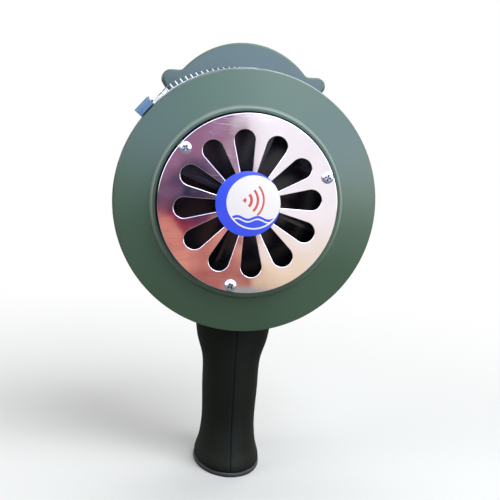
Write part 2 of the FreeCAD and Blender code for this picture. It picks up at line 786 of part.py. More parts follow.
clamp_shank = rod("clamp_shank", "clamp_screw_radius", "clamp_length", "-clamp_length / 2",
                  CLAMP_Y, "rotor_axis_height + clamp_screw_reach", ALONG_X)
clamp_head = doc.addObject("Part::Prism", "clamp_head")
clamp_head.Polygon = 6
bind(clamp_head, Circumradius="clamp_head_radius", Height="clamp_head_length")
place(clamp_head, "clamp_length / 2", CLAMP_Y, "rotor_axis_height + clamp_screw_reach", ALONG_X)
clamp_slot = block("clamp_slot", 0.8, 6, 0.8, "clamp_length / 2 + clamp_head_length - 0.8",
                   "%s - 3" % CLAMP_Y, "rotor_axis_height + clamp_screw_reach - 0.4")
clamp_screw = node("clamp_screw", cut("clamp_screw_cut", joined("clamp_screw_blank", clamp_shank, clamp_head),
                                      clamp_slot))
clamp_screw.Placement = CLAMP_TURN

# ---------------------------------------------------------------- rotor

# The first long vane stands at the rotor's phase angle from +X.
rotor = turned("rotor_body", [
    ("shaft_radius", "rotor_hub_front_y"),
    ("rotor_hub_radius", "rotor_hub_front_y"),
    ("rotor_hub_radius", "rotor_back_y - rotor_web"),
    ("rotor_radius - rotor_rim", "rotor_back_y - rotor_web"),
    ("rotor_radius - rotor_rim", "rotor_front_y + rotor_web"),
    ("rotor_eye", "rotor_front_y + rotor_web"),
    ("rotor_eye", "rotor_front_y"),
    ("rotor_radius", "rotor_front_y"),
    ("rotor_radius", "rotor_back_y"),
    ("shaft_radius", "rotor_back_y"),
], rotation=Rotation(Vector(0, 1, 0), 90 - value("rotor_phase")))


def add_vanes(inner_reach, turn):
    """Four radial plates between an inner reach and the rim, turned from the long vanes."""
    vane_body = new_body("vane_body", z=ROTOR_Z,
                         rotation=Rotation(Vector(0, 1, 0), 90 - value("rotor_phase") + turn))
    vane = new_sketch(vane_body, "XY_Plane", inner_reach)
    add_outline(vane, [
        ("-vane_thickness / 2", "rotor_front_y + rotor_web"),
        ("vane_thickness / 2", "rotor_front_y + rotor_web"),
        ("vane_thickness / 2", "rotor_back_y - rotor_web / 2"),
        ("-vane_thickness / 2", "rotor_back_y - rotor_web / 2"),
    ])
    length = "rotor_radius - rotor_rim / 2 - (%s)" % inner_reach
    around(vane_body, extruded("Pad", vane_body, vane, length, False), "vane_count")
    return vane_body


rotor_port = new_sketch(rotor, "XY_Plane", "rotor_radius - 6")
add_outline(rotor_port, [
    ("-port_width / 2", "port_front_y"),
    ("port_width / 2", "port_front_y"),
    ("port_width / 2", "rotor_port_back_y"),
    ("-port_width / 2", "rotor_port_back_y"),
])
around(rotor, extruded("Pocket", rotor, rotor_port, 12, True), "port_count")
place(rotor, 0, 0, ROTOR_Z, Rotation(Vector(0, 1, 0), 90 - value("rotor_phase") + 22.5))
node("rotor", joined("rotor_joined", rotor, add_vanes("rotor_hub_radius - 0.8", 0),
                     add_vanes("short_vane_reach", 45)))

node("rotor_shaft", turned("rotor_shaft_body", [
    (0, "shaft_nose_y"),
    ("shaft_radius", "shaft_nose_y"),
    ("shaft_radius", "shaft_step_y"),
    ("shaft_tail_radius", "shaft_step_y"),
    ("shaft_tail_radius", "shaft_end_y"),
    (0, "shaft_end_y"),
]))
node("rotor_washer", ring("rotor_washer_ring", "shaft_radius + 4", "shaft_radius + hole_clearance", 1.2,
                          "rotor_hub_front_y - 1.2"))
node("rotor_nut", hex_nut("rotor_nut_hex", 7.5, "shaft_radius", 4.8, 0, "rotor_hub_front_y - 6", ROTOR_Z))
node("front_spacer", ring("front_spacer_ring", "shaft_radius + 2", "shaft_radius",
                          "front_bearing_y - rotor_back_y", "rotor_back_y"))
node("rear_spacer", ring("rear_spacer_ring", "shaft_tail_radius + 1.5", "shaft_tail_radius",
                         "rear_bearing_y - rotor_pinion_back_y", "rotor_pinion_back_y"))


def ball_bearing(name, outer, bore, wall, y, width):
    """Outer race, inner race and balls, each a node of its own."""
    node(name + "_outer", ring(name + "_outer_ring", outer, "%s - %s" % (outer, wall), width, y))
    node(name + "_inner", ring(name + "_inner_ring", "%s + %s" % (bore, wall), bore, width, y))
    gap = "(%s - %s) - (%s + %s)" % (outer, wall, bore, wall)
    ball = doc.addObject("Part::Sphere", name + "_ball")
    bind(ball, Radius="(%s) / 2 - ball_clearance" % gap)
    reach = "(%s + %s) / 2" % (outer, bore)
    middle = "%s + %s / 2" % (y, width)
    count = int(value("ball_count"))
    grouped(name + "_balls", ball, [at_angle(reach, 360 * step / count, middle) for step in range(count)])


ball_bearing("front_bearing", "front_bearing_radius", "shaft_radius", "race_wall",
             "front_bearing_y", "front_bearing_width")
ball_bearing("rear_bearing", "rear_bearing_radius", "shaft_tail_radius", "rear_race_wall",
             "rear_bearing_y", "rear_bearing_width")

# ---------------------------------------------------------------- gear case

EARS = (
    ("crank_axis_rise", "ear_reach", "ear_angle"),
    ("crank_axis_rise", "ear_reach", "-ear_angle"),
    ("0", "lower_ear_reach", "lower_ear_angle"),
    ("0", "lower_ear_reach", "-lower_ear_angle"),
)


def ear_spot(rise, reach, angle):
    """Formulas for the middle of an ear; its angle is from +Z towards +X."""
    return "%s * sin(%s)" % (reach, angle), "rotor_axis_height + %s + %s * cos(%s)" % (rise, reach, angle)


def case_outline(name, depth, y, inset=0):
    """The case's two lobes, drawn in by an inset."""
    return lobes(name, "case_bottom_radius - %s" % inset, "case_top_radius - %s" % inset,
                 "crank_axis_rise", depth, 0, y, ROTOR_Z)


def is_ear_root(edge):
    """True for an edge along Y where the side of an ear meets the round of a lobe."""
    box = edge.BoundBox
    if max(box.XLength, box.ZLength) > 0.01:
        return False
    for rise, reach, angle in EARS:
        lobe_z = value(ROTOR_Z) + value(rise)
        lobe_radius = value("case_bottom_radius") if rise == "0" else value("case_top_radius")
        ear_x, ear_z = (value(spot) for spot in ear_spot(rise, reach, angle))
        from_lobe = math.hypot(box.Center.x, box.Center.z - lobe_z)
        from_ear = math.hypot(box.Center.x - ear_x, box.Center.z - ear_z)
        if abs(from_lobe - lobe_radius) < 0.02 and from_ear < value("ear_length"):
            return True
    return False


def is_level(edge, y):
    """True for an edge that lies in the plane at this y."""
    return max(abs(edge.BoundBox.YMin - y), abs(edge.BoundBox.YMax - y)) < 0.01


def eared_outline(name, depth, y):
    """The case's lobes with their four screw ears, filleted where the ears grow out of the lobes."""
    pieces = [case_outline(name + "_lobes", depth, y)]
    for number, (rise, reach, angle) in enumerate(EARS, start=1):
        x, z = ear_spot(rise, "(%s - ear_length)" % reach, angle)
        pieces.append(lobes("%s_ear_%d" % (name, number), "ear_root_radius", "ear_radius", "ear_length",
                            depth, x, y, z, value(angle)))
    return rounded(name + "_filleted", joined(name, *pieces), value("ear_fillet"), is_ear_root)


def ear_rods(name, radius, length, y):
    """Cylinders along +Y through the four ears."""
    spots = [ear_spot(*ear) for ear in EARS]
    return [rod("%s_%d" % (name, number), radius, length, x, y, z)
            for number, (x, z) in enumerate(spots, start=1)]


CAVITY_Y = "case_front_y + case_wall"
case_blank = eared_outline("case_blank", "case_split_y - case_front_y", "case_front_y")
smooth_case = rounded("case_rounded", case_blank, value("case_edge_radius"),
                      lambda edge: is_level(edge, value("case_front_y")))
case_cavity = case_outline("case_cavity", "case_split_y - (%s)" % CAVITY_Y, CAVITY_Y, "case_wall")
case_bosses = joined(
    "case_bosses",
    rod("case_bush_boss", "bush_radius + 3", "front_bush_length - 1.5", 0, CAVITY_Y, CRANK_Z),
    rod("case_pin_boss", 4.5, 2, IDLER_X, CAVITY_Y, IDLER_Z),
)
case_hollow = cut("case_hollow", case_cavity, case_bosses)
node("gear_case", cut(
    "case_bored", smooth_case, case_hollow,
    rod("case_bearing_seat", "front_bearing_radius", 1.5, 0, "case_front_y", ROTOR_Z),
    rod("case_shaft_hole", "shaft_radius + 4", "case_wall", 0, "case_front_y", ROTOR_Z),
    rod("case_bush_seat", "bush_radius", "front_bush_length", 0, "front_bush_y", CRANK_Z),
    rod("case_pin_seat", "idler_pin_radius", 4.1, IDLER_X, "case_front_y + 0.9", IDLER_Z),
    *rods_on_circle("case_bolt_hole", "screw_radius + hole_clearance", "case_wall",
                    "case_bolt_reach", CASE_BOLT_ANGLES, "case_front_y"),
    *ear_rods("case_ear_hole", "screw_radius", "case_split_y - case_front_y - 4", "case_front_y + 4"),
))

COVER_Y = "case_split_y + gasket_thickness"
GASKET_OUTLINE = eared_outline("gasket_blank", "gasket_thickness", "case_split_y")
node("gear_gasket", cut(
    "gasket_cut", GASKET_OUTLINE,
    case_outline("gasket_window", "gasket_thickness", "case_split_y", "case_wall"),
    *ear_rods("gasket_hole", "screw_radius + 0.2", "gasket_thickness", "case_split_y"),
))

cover_blank = eared_outline("cover_blank", "case_back_y - (%s)" % COVER_Y, COVER_Y)
smooth_cover = rounded("cover_rounded", cover_blank, value("case_edge_radius"),
                       lambda edge: is_level(edge, value("case_back_y")))
cover_cavity = case_outline("cover_cavity", "case_back_y - case_wall - (%s)" % COVER_Y, COVER_Y, "case_wall")
cover_bosses = joined(
    "cover_bosses",
    rod("cover_bush_boss", "bush_radius + 4", "rear_bush_length - 0.4", 0, "rear_bush_y", CRANK_Z),
    rod("cover_bearing_boss", "rear_bearing_radius + 3.5", 8, 0, "rear_bearing_y - 0.7", ROTOR_Z),
    rod("cover_pin_boss", 5, 5, IDLER_X, "case_back_y - case_wall - 3.5", IDLER_Z),
)
cover_hollow = cut("cover_hollow", cover_cavity, cover_bosses)
cover_shell = cut("cover_shell", smooth_cover, cover_hollow)
PAD_BACK_Y = "case_back_y + cover_pad_rise"
cover_pad = rounded("cover_pad_rounded",
                    case_outline("cover_pad", "cover_pad_rise + 1", "case_back_y - 1", "cover_pad_inset"),
                    value("cover_pad_rise") - 0.1, lambda edge: is_level(edge, value(PAD_BACK_Y)))
BUSH_NECK = rod("cover_bush_neck", "bush_radius + 4", "rear_bush_y + rear_bush_length - 0.4 - case_back_y + 1",
                0, "case_back_y - 1", CRANK_Z)
node("gear_cover", cut(
    "cover_bored", joined("cover_with_neck", cover_shell, cover_pad, BUSH_NECK),
    rod("cover_bush_seat", "bush_radius", "rear_bush_length", 0, "rear_bush_y", CRANK_Z),
    rod("cover_bearing_seat", "rear_bearing_radius", "rear_bearing_width + 0.8", 0,
        "rear_bearing_y - 0.8", ROTOR_Z),
    rod("cover_bearing_relief", "rear_bearing_radius - rear_race_wall", 1, 0,
        "rear_bearing_y + rear_bearing_width", ROTOR_Z),
    rod("cover_pin_seat", "idler_pin_radius", 4.5, IDLER_X, "case_back_y - case_wall - 3.6", IDLER_Z),
    *ear_rods("cover_ear_hole", "screw_radius + hole_clearance", "case_back_y - (%s)" % COVER_Y, COVER_Y),
))


def case_screw_spots():
    spots = [ear_spot(*ear) for ear in EARS]
    backwards = Rotation(Vector(0, 0, 1), 180)
    return [Placement(Vector(value(x), value("case_back_y"), value(z)), backwards) for x, z in spots]


case_screw = pan_screw("case_screw", "pan_head_radius", "pan_head_height", "screw_radius",
                       "case_back_y - case_front_y - 5")
grouped("case_screws", case_screw, case_screw_spots())
case_bolt = pan_screw("case_bolt", "small_head_radius", "small_head_height", "screw_radius",
                      "case_wall + back_plate_thickness - 0.5")
grouped("case_bolts", case_bolt,
        [at_angle("case_bolt_reach", angle, CAVITY_Y, True) for angle in CASE_BOLT_ANGLES])

# ---------------------------------------------------------------- gears

idler_x, idler_rise = value(IDLER_X), value(IDLER_RISE)
towards_idler = math.atan2(idler_rise - value("crank_axis_rise"), idler_x)
towards_rotor = math.atan2(-idler_rise, -idler_x)


def facing_gap(direction, teeth):
    """The phase that puts a gap of this gear opposite a tooth coming from the direction."""
    return direction + math.pi + math.pi / value(teeth)


GEAR_BACK = "crank_gear_y + crank_gear_width"
crank_blank = toothed("crank_gear_teeth_blank", "crank_gear_teeth", towards_idler, "crank_gear_width",
                      0, "crank_gear_y", CRANK_Z)
crank_recess = ring("crank_gear_recess", "crank_gear_teeth * gear_module / 2 - 4", "crank_hub_radius + 2",
                    3, "%s - 3" % GEAR_BACK, z=CRANK_Z)
crank_hub = rod("crank_gear_hub", "crank_hub_radius", "crank_hub_length", 0, GEAR_BACK, CRANK_Z)

# Two pawls, opposite each other, hang on pins in the crank gear's front face.
PAWL_ANGLES = (100, 280)


def about_crank(reach, angle, y):
    """A point at a reach and angle about the crank axis."""
    heading = math.radians(angle)
    return Vector(reach * math.cos(heading), value(y), value(CRANK_Z) + reach * math.sin(heading))


pawl_pin_holes = []
for number, angle in enumerate(PAWL_ANGLES, start=1):
    spot = about_crank(value("pawl_pin_reach"), angle, "crank_gear_y")
    pawl_pin_holes.append(rod("pawl_pin_hole_%d" % number, "pawl_pin_radius", 2, spot.x, spot.y, spot.z))
node("crank_gear", cut(
    "crank_gear_cut", joined("crank_gear_blank", crank_blank, crank_hub), crank_recess,
    rod("crank_gear_bore", "crank_shaft_radius", "crank_gear_width + crank_hub_length",
        0, "crank_gear_y", CRANK_Z),
    *pawl_pin_holes,
))

IDLER_BACK = "idler_gear_y + idler_gear_width"
idler_blank = toothed("idler_gear_blank", "idler_gear_teeth", towards_rotor, "idler_gear_width",
                      IDLER_X, "idler_gear_y", IDLER_Z)
idler_recess = ring("idler_gear_recess", "idler_gear_teeth * gear_module / 2 - 3", "idler_hub_radius + 2",
                    1.5, "idler_gear_y", x=IDLER_X, z=IDLER_Z)
node("idler_gear", cut("idler_gear_cut", idler_blank, idler_recess,
                       rod("idler_gear_bore", "idler_hub_radius", "idler_gear_width",
                           IDLER_X, "idler_gear_y", IDLER_Z)))

pinion_teeth = toothed("idler_pinion_teeth_blank", "idler_pinion_teeth",
                       facing_gap(towards_idler, "idler_pinion_teeth"), "idler_pinion_length",
                       IDLER_X, IDLER_BACK, IDLER_Z)
pinion_hub = rod("idler_pinion_hub", "idler_hub_radius", "idler_gear_width", IDLER_X, "idler_gear_y", IDLER_Z)
node("idler_pinion", cut(
    "idler_pinion_cut", joined("idler_pinion_blank", pinion_teeth, pinion_hub),
    rod("idler_pinion_bore", "idler_pin_radius + running_gap", "idler_gear_width + idler_pinion_length",
        IDLER_X, "idler_gear_y", IDLER_Z),
))
node("idler_pin", rod("idler_pin_rod", "idler_pin_radius", "case_back_y - case_front_y - 3",
                      IDLER_X, "case_front_y + 0.9", IDLER_Z))
node("idler_clip", ring("idler_clip_ring", "idler_pin_radius + 2.2", "idler_pin_radius", 0.8,
                        "%s + idler_pinion_length + 0.6" % IDLER_BACK, x=IDLER_X, z=IDLER_Z))

rotor_pinion = toothed("rotor_pinion_blank", "rotor_pinion_teeth",
                       facing_gap(towards_rotor, "rotor_pinion_teeth"),
                       "rotor_pinion_back_y - shaft_step_y", 0, "shaft_step_y", ROTOR_Z)
node("rotor_pinion", cut("rotor_pinion_cut", rotor_pinion,
                         rod("rotor_pinion_bore", "shaft_tail_radius", "rotor_pinion_back_y - shaft_step_y",
                             0, "shaft_step_y", ROTOR_Z)))

# ---------------------------------------------------------------- ratchet

saw = []
saw_teeth = int(value("ratchet_teeth"))
for tooth in range(saw_teeth):
    angle = 360 * tooth / saw_teeth
    saw.append(about_crank(value("ratchet_root"), angle, "ratchet_y"))
    saw.append(about_crank(value("ratchet_tip"), angle, "ratchet_y"))
saw_blank = doc.addObject("Part::Feature", "ratchet_blank")
saw_blank.Shape = Part.Face(Part.makePolygon(saw + saw[:1])).extrude(Vector(0, value("ratchet_width"), 0))
node("ratchet_wheel", cut("ratchet_bored", saw_blank,
                          rod("ratchet_bore", "crank_shaft_radius", "ratchet_width", 0, "ratchet_y", CRANK_Z)))

# Each pawl leans from its pin towards the saw teeth and ends just outside their tips.
pin_reach, nose_reach, pawl_length = value("pawl_pin_reach"), value("pawl_nose_reach"), value("pawl_length")
inward_share = (pin_reach ** 2 + pawl_length ** 2 - nose_reach ** 2) / (2 * pin_reach * pawl_length)
pawl_lean = math.degrees(math.acos(inward_share))
pawl_blank = lobes("pawl_blank", "pawl_root", "pawl_nose", "pawl_length", "ratchet_width - 0.4", 0, 0, 0)
pawl = cut("pawl", pawl_blank, rod("pawl_hole", "pawl_pin_radius + hole_clearance", "ratchet_width - 0.4"))
spring = block("pawl_spring", 0.4, "ratchet_width - 1", 8, "pawl_root + 0.1", 0.3, -1)


def pawl_places(y):
    """Placements that turn a part drawn upright at its pin towards the crank axis."""
    return [Placement(about_crank(pin_reach, angle, y),
                      Rotation(Vector(0, 1, 0), 90 - (angle + 180 - pawl_lean))) for angle in PAWL_ANGLES]


grouped("ratchet_pawls", pawl, pawl_places("ratchet_y + 0.1"))
grouped("pawl_springs", spring, pawl_places("ratchet_y + 0.1"))
grouped("pawl_pins", rod("pawl_pin", "pawl_pin_radius", "crank_gear_y + 2 - ratchet_y"),
        pawl_places("ratchet_y"))

# ---------------------------------------------------------------- crank

node("crank_shaft", turned("crank_shaft_body", [
    (0, "crank_shaft_front_y"),
    ("crank_shaft_radius", "crank_shaft_front_y"),
    ("crank_shaft_radius", "crank_seat_y"),
    ("crank_seat_radius", "crank_seat_y"),
    ("crank_seat_radius", "crank_thread_y"),
    ("crank_thread_radius", "crank_thread_y"),
    ("crank_thread_radius", "crank_shaft_end_y"),
    (0, "crank_shaft_end_y"),
], z=CRANK_Z))
node("crank_clip", ring("crank_clip_ring", "crank_shaft_radius + 3", "crank_shaft_radius", 1,
                        "%s + crank_hub_length + 0.1" % GEAR_BACK, z=CRANK_Z))
node("front_bush", ring("front_bush_ring", "bush_radius", "crank_shaft_radius + running_gap",
                        "front_bush_length", "front_bush_y", z=CRANK_Z))
node("rear_bush", ring("rear_bush_ring", "bush_radius", "crank_shaft_radius + running_gap",
                       "rear_bush_length", "rear_bush_y", z=CRANK_Z))

arm_blank = lobes("arm_blank", "arm_tip_radius", "arm_hub_radius", "crank_throw",
                  "crank_thread_y - crank_seat_y", 0, "crank_seat_y", KNOB_Z)
arm_faces = (value("crank_seat_y"), value("crank_thread_y"))
smooth_arm = rounded("arm_rounded", arm_blank, 1,
                     lambda edge: edge.BoundBox.YLength < 0.01 and min(
                         abs(edge.BoundBox.YMin - y) for y in arm_faces) < 0.01)
node("crank_arm", cut(
    "arm_bored", smooth_arm,
    rod("arm_hub_hole", "crank_seat_radius", "crank_thread_y - crank_seat_y", 0, "crank_seat_y", CRANK_Z),
    rod("arm_tip_hole", "knob_pin_radius", "crank_thread_y - crank_seat_y", 0, "crank_seat_y", KNOB_Z),
))
node("crank_washer", ring("crank_washer_ring", 8, "crank_thread_radius + hole_clearance", 1.4,
                          "crank_thread_y", z=CRANK_Z))
node("crank_nut", hex_nut("crank_nut_hex", 7.5, "crank_thread_radius", 5.4, 0,
                          "crank_thread_y + 1.4", CRANK_Z))

KNOB_FLOOR = "knob_back_y - knob_sink"
node("knob_pin", turned("knob_pin_body", [
    (0, "crank_seat_y + 0.4"),
    ("knob_pin_radius", "crank_seat_y + 0.4"),
    ("knob_pin_radius", "%s + 0.5" % KNOB_FLOOR),
    ("knob_sink_radius - 0.8", "%s + 0.5" % KNOB_FLOOR),
    ("knob_sink_radius - 0.8", "%s + 2.3" % KNOB_FLOOR),
    ("knob_sink_radius - 1.8", "%s + 3" % KNOB_FLOOR),
    (0, "%s + 3" % KNOB_FLOOR),
], z=KNOB_Z))
node("knob_washer", ring("knob_washer_ring", "knob_pin_radius + 4", "knob_pin_radius + hole_clearance", 0.9,
                         "crank_thread_y", z=KNOB_Z))

knob_blank = turned("knob_body", [
    ("knob_pin_radius + running_gap", "knob_front_y"),
    ("knob_end_radius", "knob_front_y"),
    ("knob_radius - 1.6", "knob_front_y + 9"),
    ("knob_radius", "knob_front_y + 19"),
    ("knob_radius - 0.9", "knob_back_y - 7"),
    ("knob_end_radius", "knob_back_y"),
    ("knob_sink_radius", "knob_back_y"),
    ("knob_sink_radius", KNOB_FLOOR),
    ("knob_pin_radius + running_gap", KNOB_FLOOR),
], z=KNOB_Z)
knob_ends = (value("knob_front_y"), value("knob_back_y"))
node("knob", rounded("knob_rounded", knob_blank, 1.4,
                     lambda edge: any(is_circle(edge, value("knob_end_radius"), y) for y in knob_ends)))

# ---------------------------------------------------------------- grip


def grip_loft(name, inset, sections):
    """A smooth column through oval sections, drawn in by an inset."""
    ovals = []
    for section in sections:
        oval = doc.addObject("Part::Ellipse", "%s_%s" % (name, section))
        bind(oval, MajorRadius="grip_%s_depth - %s" % (section, inset),
             MinorRadius="grip_%s_width - %s" % (section, inset))
        place(oval, 0, 0, "grip_%s_height" % section, Rotation(Vector(0, 0, 1), 90))
        ovals.append(oval)
    loft = doc.addObject("Part::Loft", name)
    loft.Sections = ovals
    loft.Solid = True
    return loft


# The saddle fits the stepped underside of the drum: band clamp, drum wall and back plate.
saddle = turned("saddle_cutter", [
    (0, "band_front_y - 10"),
    (BAND_OUTER + " + saddle_gap", "band_front_y - 10"),
    (BAND_OUTER + " + saddle_gap", "skirt_back_y + saddle_gap"),
    ("drum_radius + saddle_gap", "skirt_back_y + saddle_gap"),
    ("drum_radius + saddle_gap", "drum_back_y - saddle_gap"),
    ("back_plate_radius + saddle_gap", "drum_back_y - saddle_gap"),
    ("back_plate_radius + saddle_gap", "case_back_y"),
    (0, "case_back_y"),
])
outer_column = cut("grip_outer", grip_loft("grip_loft", 0, list(GRIP_SECTIONS)), saddle)

GRIP_SCREWS = (("20", 0), ("42", 0), ("64", "bracket_front_y + bracket_depth / 2"))
HOLLOW_SECTIONS = ["rim", "ankle", "waist", "palm", "thumb"]
grip_bosses = [rod("grip_boss_%d" % number, "grip_boss_radius", 60, -30, y, z, ALONG_X)
               for number, (z, y) in enumerate(GRIP_SCREWS, start=1)]
BRACKET_TOP = "rotor_axis_height - drum_radius + 6"
bracket_sheath = block("bracket_sheath", "2 * bracket_half_width + 5", "bracket_depth + 5", 60,
                       "-bracket_half_width - 2.5", "bracket_front_y - 2.5", "bracket_foot_z - 3")
grip_hollow = cut("grip_hollow", grip_loft("grip_hollow_loft", "grip_wall", HOLLOW_SECTIONS),
                  *grip_bosses, bracket_sheath)
bracket_pocket = block("bracket_pocket", "2 * bracket_half_width + 0.1", "bracket_depth + 0.1", 60,
                       "-bracket_half_width - 0.05", "bracket_front_y - 0.05", "bracket_foot_z")
grip_shell = cut("grip_shell", outer_column, grip_hollow, bracket_pocket)

HEAD_SEAT = "grip_waist_width - 4"


def grip_half(label, side):
    """One half of the grip, with its screw holes; the heads sink into the +X half."""
    if side > 0:
        half_space = block(label + "_side", 40, 90, 110, "seam_gap", -45, 0)
        holes = [rod("%s_hole_%d" % (label, number), "grip_screw_radius + hole_clearance", 40, 0, y, z, ALONG_X)
                 for number, (z, y) in enumerate(GRIP_SCREWS, start=1)]
        holes += [rod("%s_sink_%d" % (label, number), "small_head_radius + 0.3", 30, HEAD_SEAT, y, z, ALONG_X)
                  for number, (z, y) in enumerate(GRIP_SCREWS, start=1)]
    else:
        half_space = block(label + "_side", 40, 90, 110, "-40 - seam_gap", -45, 0)
        holes = [rod("%s_hole_%d" % (label, number), "grip_screw_radius", 13.5, -13.5, y, z, ALONG_X)
                 for number, (z, y) in enumerate(GRIP_SCREWS, start=1)]
    node(label, cut(label + "_drilled", common(label + "_half", grip_shell, half_space), *holes))


grip_half("grip_right", 1)
grip_half("grip_left", -1)

grip_screw = pan_screw("grip_screw", "small_head_radius", "small_head_height", "grip_screw_radius",
                       HEAD_SEAT + " + 12.5")
sideways = Rotation(Vector(0, 0, 1), 90)      # the head faces +X, the shank runs along -X
grouped("grip_screws", grip_screw,
        [Placement(Vector(value(HEAD_SEAT), value(y), value(z)), sideways) for z, y in GRIP_SCREWS])

bracket_blank = block("bracket_blank", "2 * bracket_half_width", "bracket_depth",
                      "%s - bracket_foot_z" % BRACKET_TOP, "-bracket_half_width", "bracket_front_y",
                      "bracket_foot_z")
bracket_cross = rod("bracket_cross_hole", "grip_screw_radius + 0.2", 40, -20, GRIP_SCREWS[2][1],
                    GRIP_SCREWS[2][0], ALONG_X)
bracket_taps = [rod("bracket_tap_%d" % number, 2, 24, 0, y, "rotor_axis_height - drum_radius + 6", DOWN)
                for number, y in enumerate(BRACKET_SCREW_Y, start=1)]
drum_core = rod("bracket_drum_core", "drum_radius", 60, 0, -30, ROTOR_Z)
node("grip_bracket", cut("bracket_cut", bracket_blank, drum_core, bracket_cross, *bracket_taps))

bracket_screw = joined("bracket_screw", rod("bracket_screw_head", 3.6, 1.8),
                       rod("bracket_screw_shank", 2, 18))
bracket_slot = block("bracket_screw_slot", 5, 0.8, 0.8, -2.5, 0, -0.4)
facing_down = Rotation(Vector(1, 0, 0), -90)
grouped("bracket_screws", cut("bracket_screw_cut", bracket_screw, bracket_slot),
        [Placement(Vector(0, value(y), value("rotor_axis_height - drum_bore - 0.55")), facing_down)
         for y in BRACKET_SCREW_Y])

pad = doc.addObject("Part::Ellipse", "pad_oval")
bind(pad, MajorRadius="pad_half_depth", MinorRadius="pad_half_width")
place(pad, 0, 0, 0, Rotation(Vector(0, 0, 1), 90))
pad_solid = doc.addObject("Part::Extrusion", "pad_solid")
pad_solid.Base = pad
pad_solid.DirMode = "Custom"
pad_solid.Dir = Vector(0, 0, 1)
pad_solid.Solid = True
bind(pad_solid, LengthFwd="pad_thickness")
node("foot_pad", pad_solid)

# ---------------------------------------------------------------- checks and export

doc.recompute()
for item in doc.Objects:
    bad = [state for state in item.State if state in ("Invalid", "Error")]
    if bad:
        raise RuntimeError("%s is %s" % (item.Label, bad))
for label, item in NODES.items():
    shape = item.Shape
    if shape.isNull() or not shape.isValid() or not shape.Solids:
        raise RuntimeError("%s has no valid solid" % label)
for label, item in NODES.items():
    item.Shape.exportStep("parts/%s.step" % label)
    box = item.Shape.BoundBox
    print("%-22s %2d solid(s) %9.1f mm3  x %6.1f..%6.1f  y %6.1f..%6.1f  z %6.1f..%6.1f" % (
        label, len(item.Shape.Solids), item.Shape.Volume,
        box.XMin, box.XMax, box.YMin, box.YMax, box.ZMin, box.ZMax))
print(len(NODES), "nodes")
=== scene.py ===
import json
import math

import bmesh
import bpy
from mathutils import Matrix, Vector


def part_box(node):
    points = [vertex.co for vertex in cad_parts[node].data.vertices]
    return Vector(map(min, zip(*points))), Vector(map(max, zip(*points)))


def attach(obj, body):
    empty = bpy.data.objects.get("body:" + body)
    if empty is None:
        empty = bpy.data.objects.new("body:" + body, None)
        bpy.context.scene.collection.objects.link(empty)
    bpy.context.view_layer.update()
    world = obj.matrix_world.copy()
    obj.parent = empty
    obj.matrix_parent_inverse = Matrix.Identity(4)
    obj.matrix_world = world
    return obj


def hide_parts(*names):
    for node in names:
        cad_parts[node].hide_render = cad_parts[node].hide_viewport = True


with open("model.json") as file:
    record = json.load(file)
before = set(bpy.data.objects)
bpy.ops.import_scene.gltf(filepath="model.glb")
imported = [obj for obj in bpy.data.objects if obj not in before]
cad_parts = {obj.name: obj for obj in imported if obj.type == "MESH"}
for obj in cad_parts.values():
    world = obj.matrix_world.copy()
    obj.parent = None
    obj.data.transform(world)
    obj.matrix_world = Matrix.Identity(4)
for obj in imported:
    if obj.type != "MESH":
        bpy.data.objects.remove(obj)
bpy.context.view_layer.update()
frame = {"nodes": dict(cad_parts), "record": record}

# ---------------- drum
# The drum is a cast aluminium ring with eight sound ports, closed behind by a cast back plate.
# Both are turned on their joints, then sprayed with satin dark green enamel before assembly.

MM = 0.001
drum_low, drum_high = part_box("stator_ring")
AXIS_HEIGHT = (drum_low.z + drum_high.z) / 2
BODY_OF = {node: body for body, nodes in frame["record"]["behaviour"]["bodies"].items() for node in nodes}


def srgb(red, green, blue):
    """A colour given as a paint chart gives it, from 0 to 255, in the shader's linear light."""
    light = [part / 255 for part in (red, green, blue)]
    return (*[part / 12.92 if part < 0.04045 else ((part + 0.055) / 1.055) ** 2.4 for part in light], 1)


def add_node(tree, kind, inputs=None, **settings):
    """A new node; its inputs are plain values or the sockets that feed them."""
    node = tree.nodes.new(kind)
    for name, setting in settings.items():
        setattr(node, name, setting)
    for key, source in (inputs or {}).items():
        if isinstance(source, bpy.types.NodeSocket):
            tree.links.new(source, node.inputs[key])
        else:
            node.inputs[key].default_value = source
    return node


def feed(node, **sources):
    """Wire sockets into a node's inputs; a name takes _ for each space."""
    for label, source in sources.items():
        node.id_data.links.new(source, node.inputs[label.replace("_", " ")])


def calc(tree, operation, *values):
    """One Math node's result."""
    return add_node(tree, "ShaderNodeMath", dict(enumerate(values)), operation=operation).outputs[0]


def times(tree, *values):
    """The product of several values."""
    product = values[0]
    for value in values[1:]:
        product = calc(tree, "MULTIPLY", product, value)
    return product


def ramp(tree, value, start, end, low=0.0, high=1.0, **settings):
    """The value's way from start to end, stretched to run from low to high and held beyond them."""
    ends = {"Value": value, 1: start, 2: end, 3: low, 4: high}
    return add_node(tree, "ShaderNodeMapRange", ends, **settings).outputs[0]


def noise(tree, vector, scale, detail=2.0):
    """A cloudy pattern between 0 and 1."""
    cloud = add_node(tree, "ShaderNodeTexNoise", {"Vector": vector, "Scale": scale, "Detail": detail})
    return cloud.outputs["Fac"]


def axes(tree, vector):
    """A vector's X, Y and Z."""
    return add_node(tree, "ShaderNodeSeparateXYZ", {0: vector}).outputs


def object_place(tree):
    """The shaded point's place on the object."""
    return add_node(tree, "ShaderNodeTexCoord").outputs["Object"]


def blend_colours(tree, share, first, second):
    """The first colour turning into the second as the share goes from 0 to 1."""
    mix = add_node(tree, "ShaderNodeMix", {0: share, 6: first, 7: second}, data_type="RGBA")
    return mix.outputs[2]


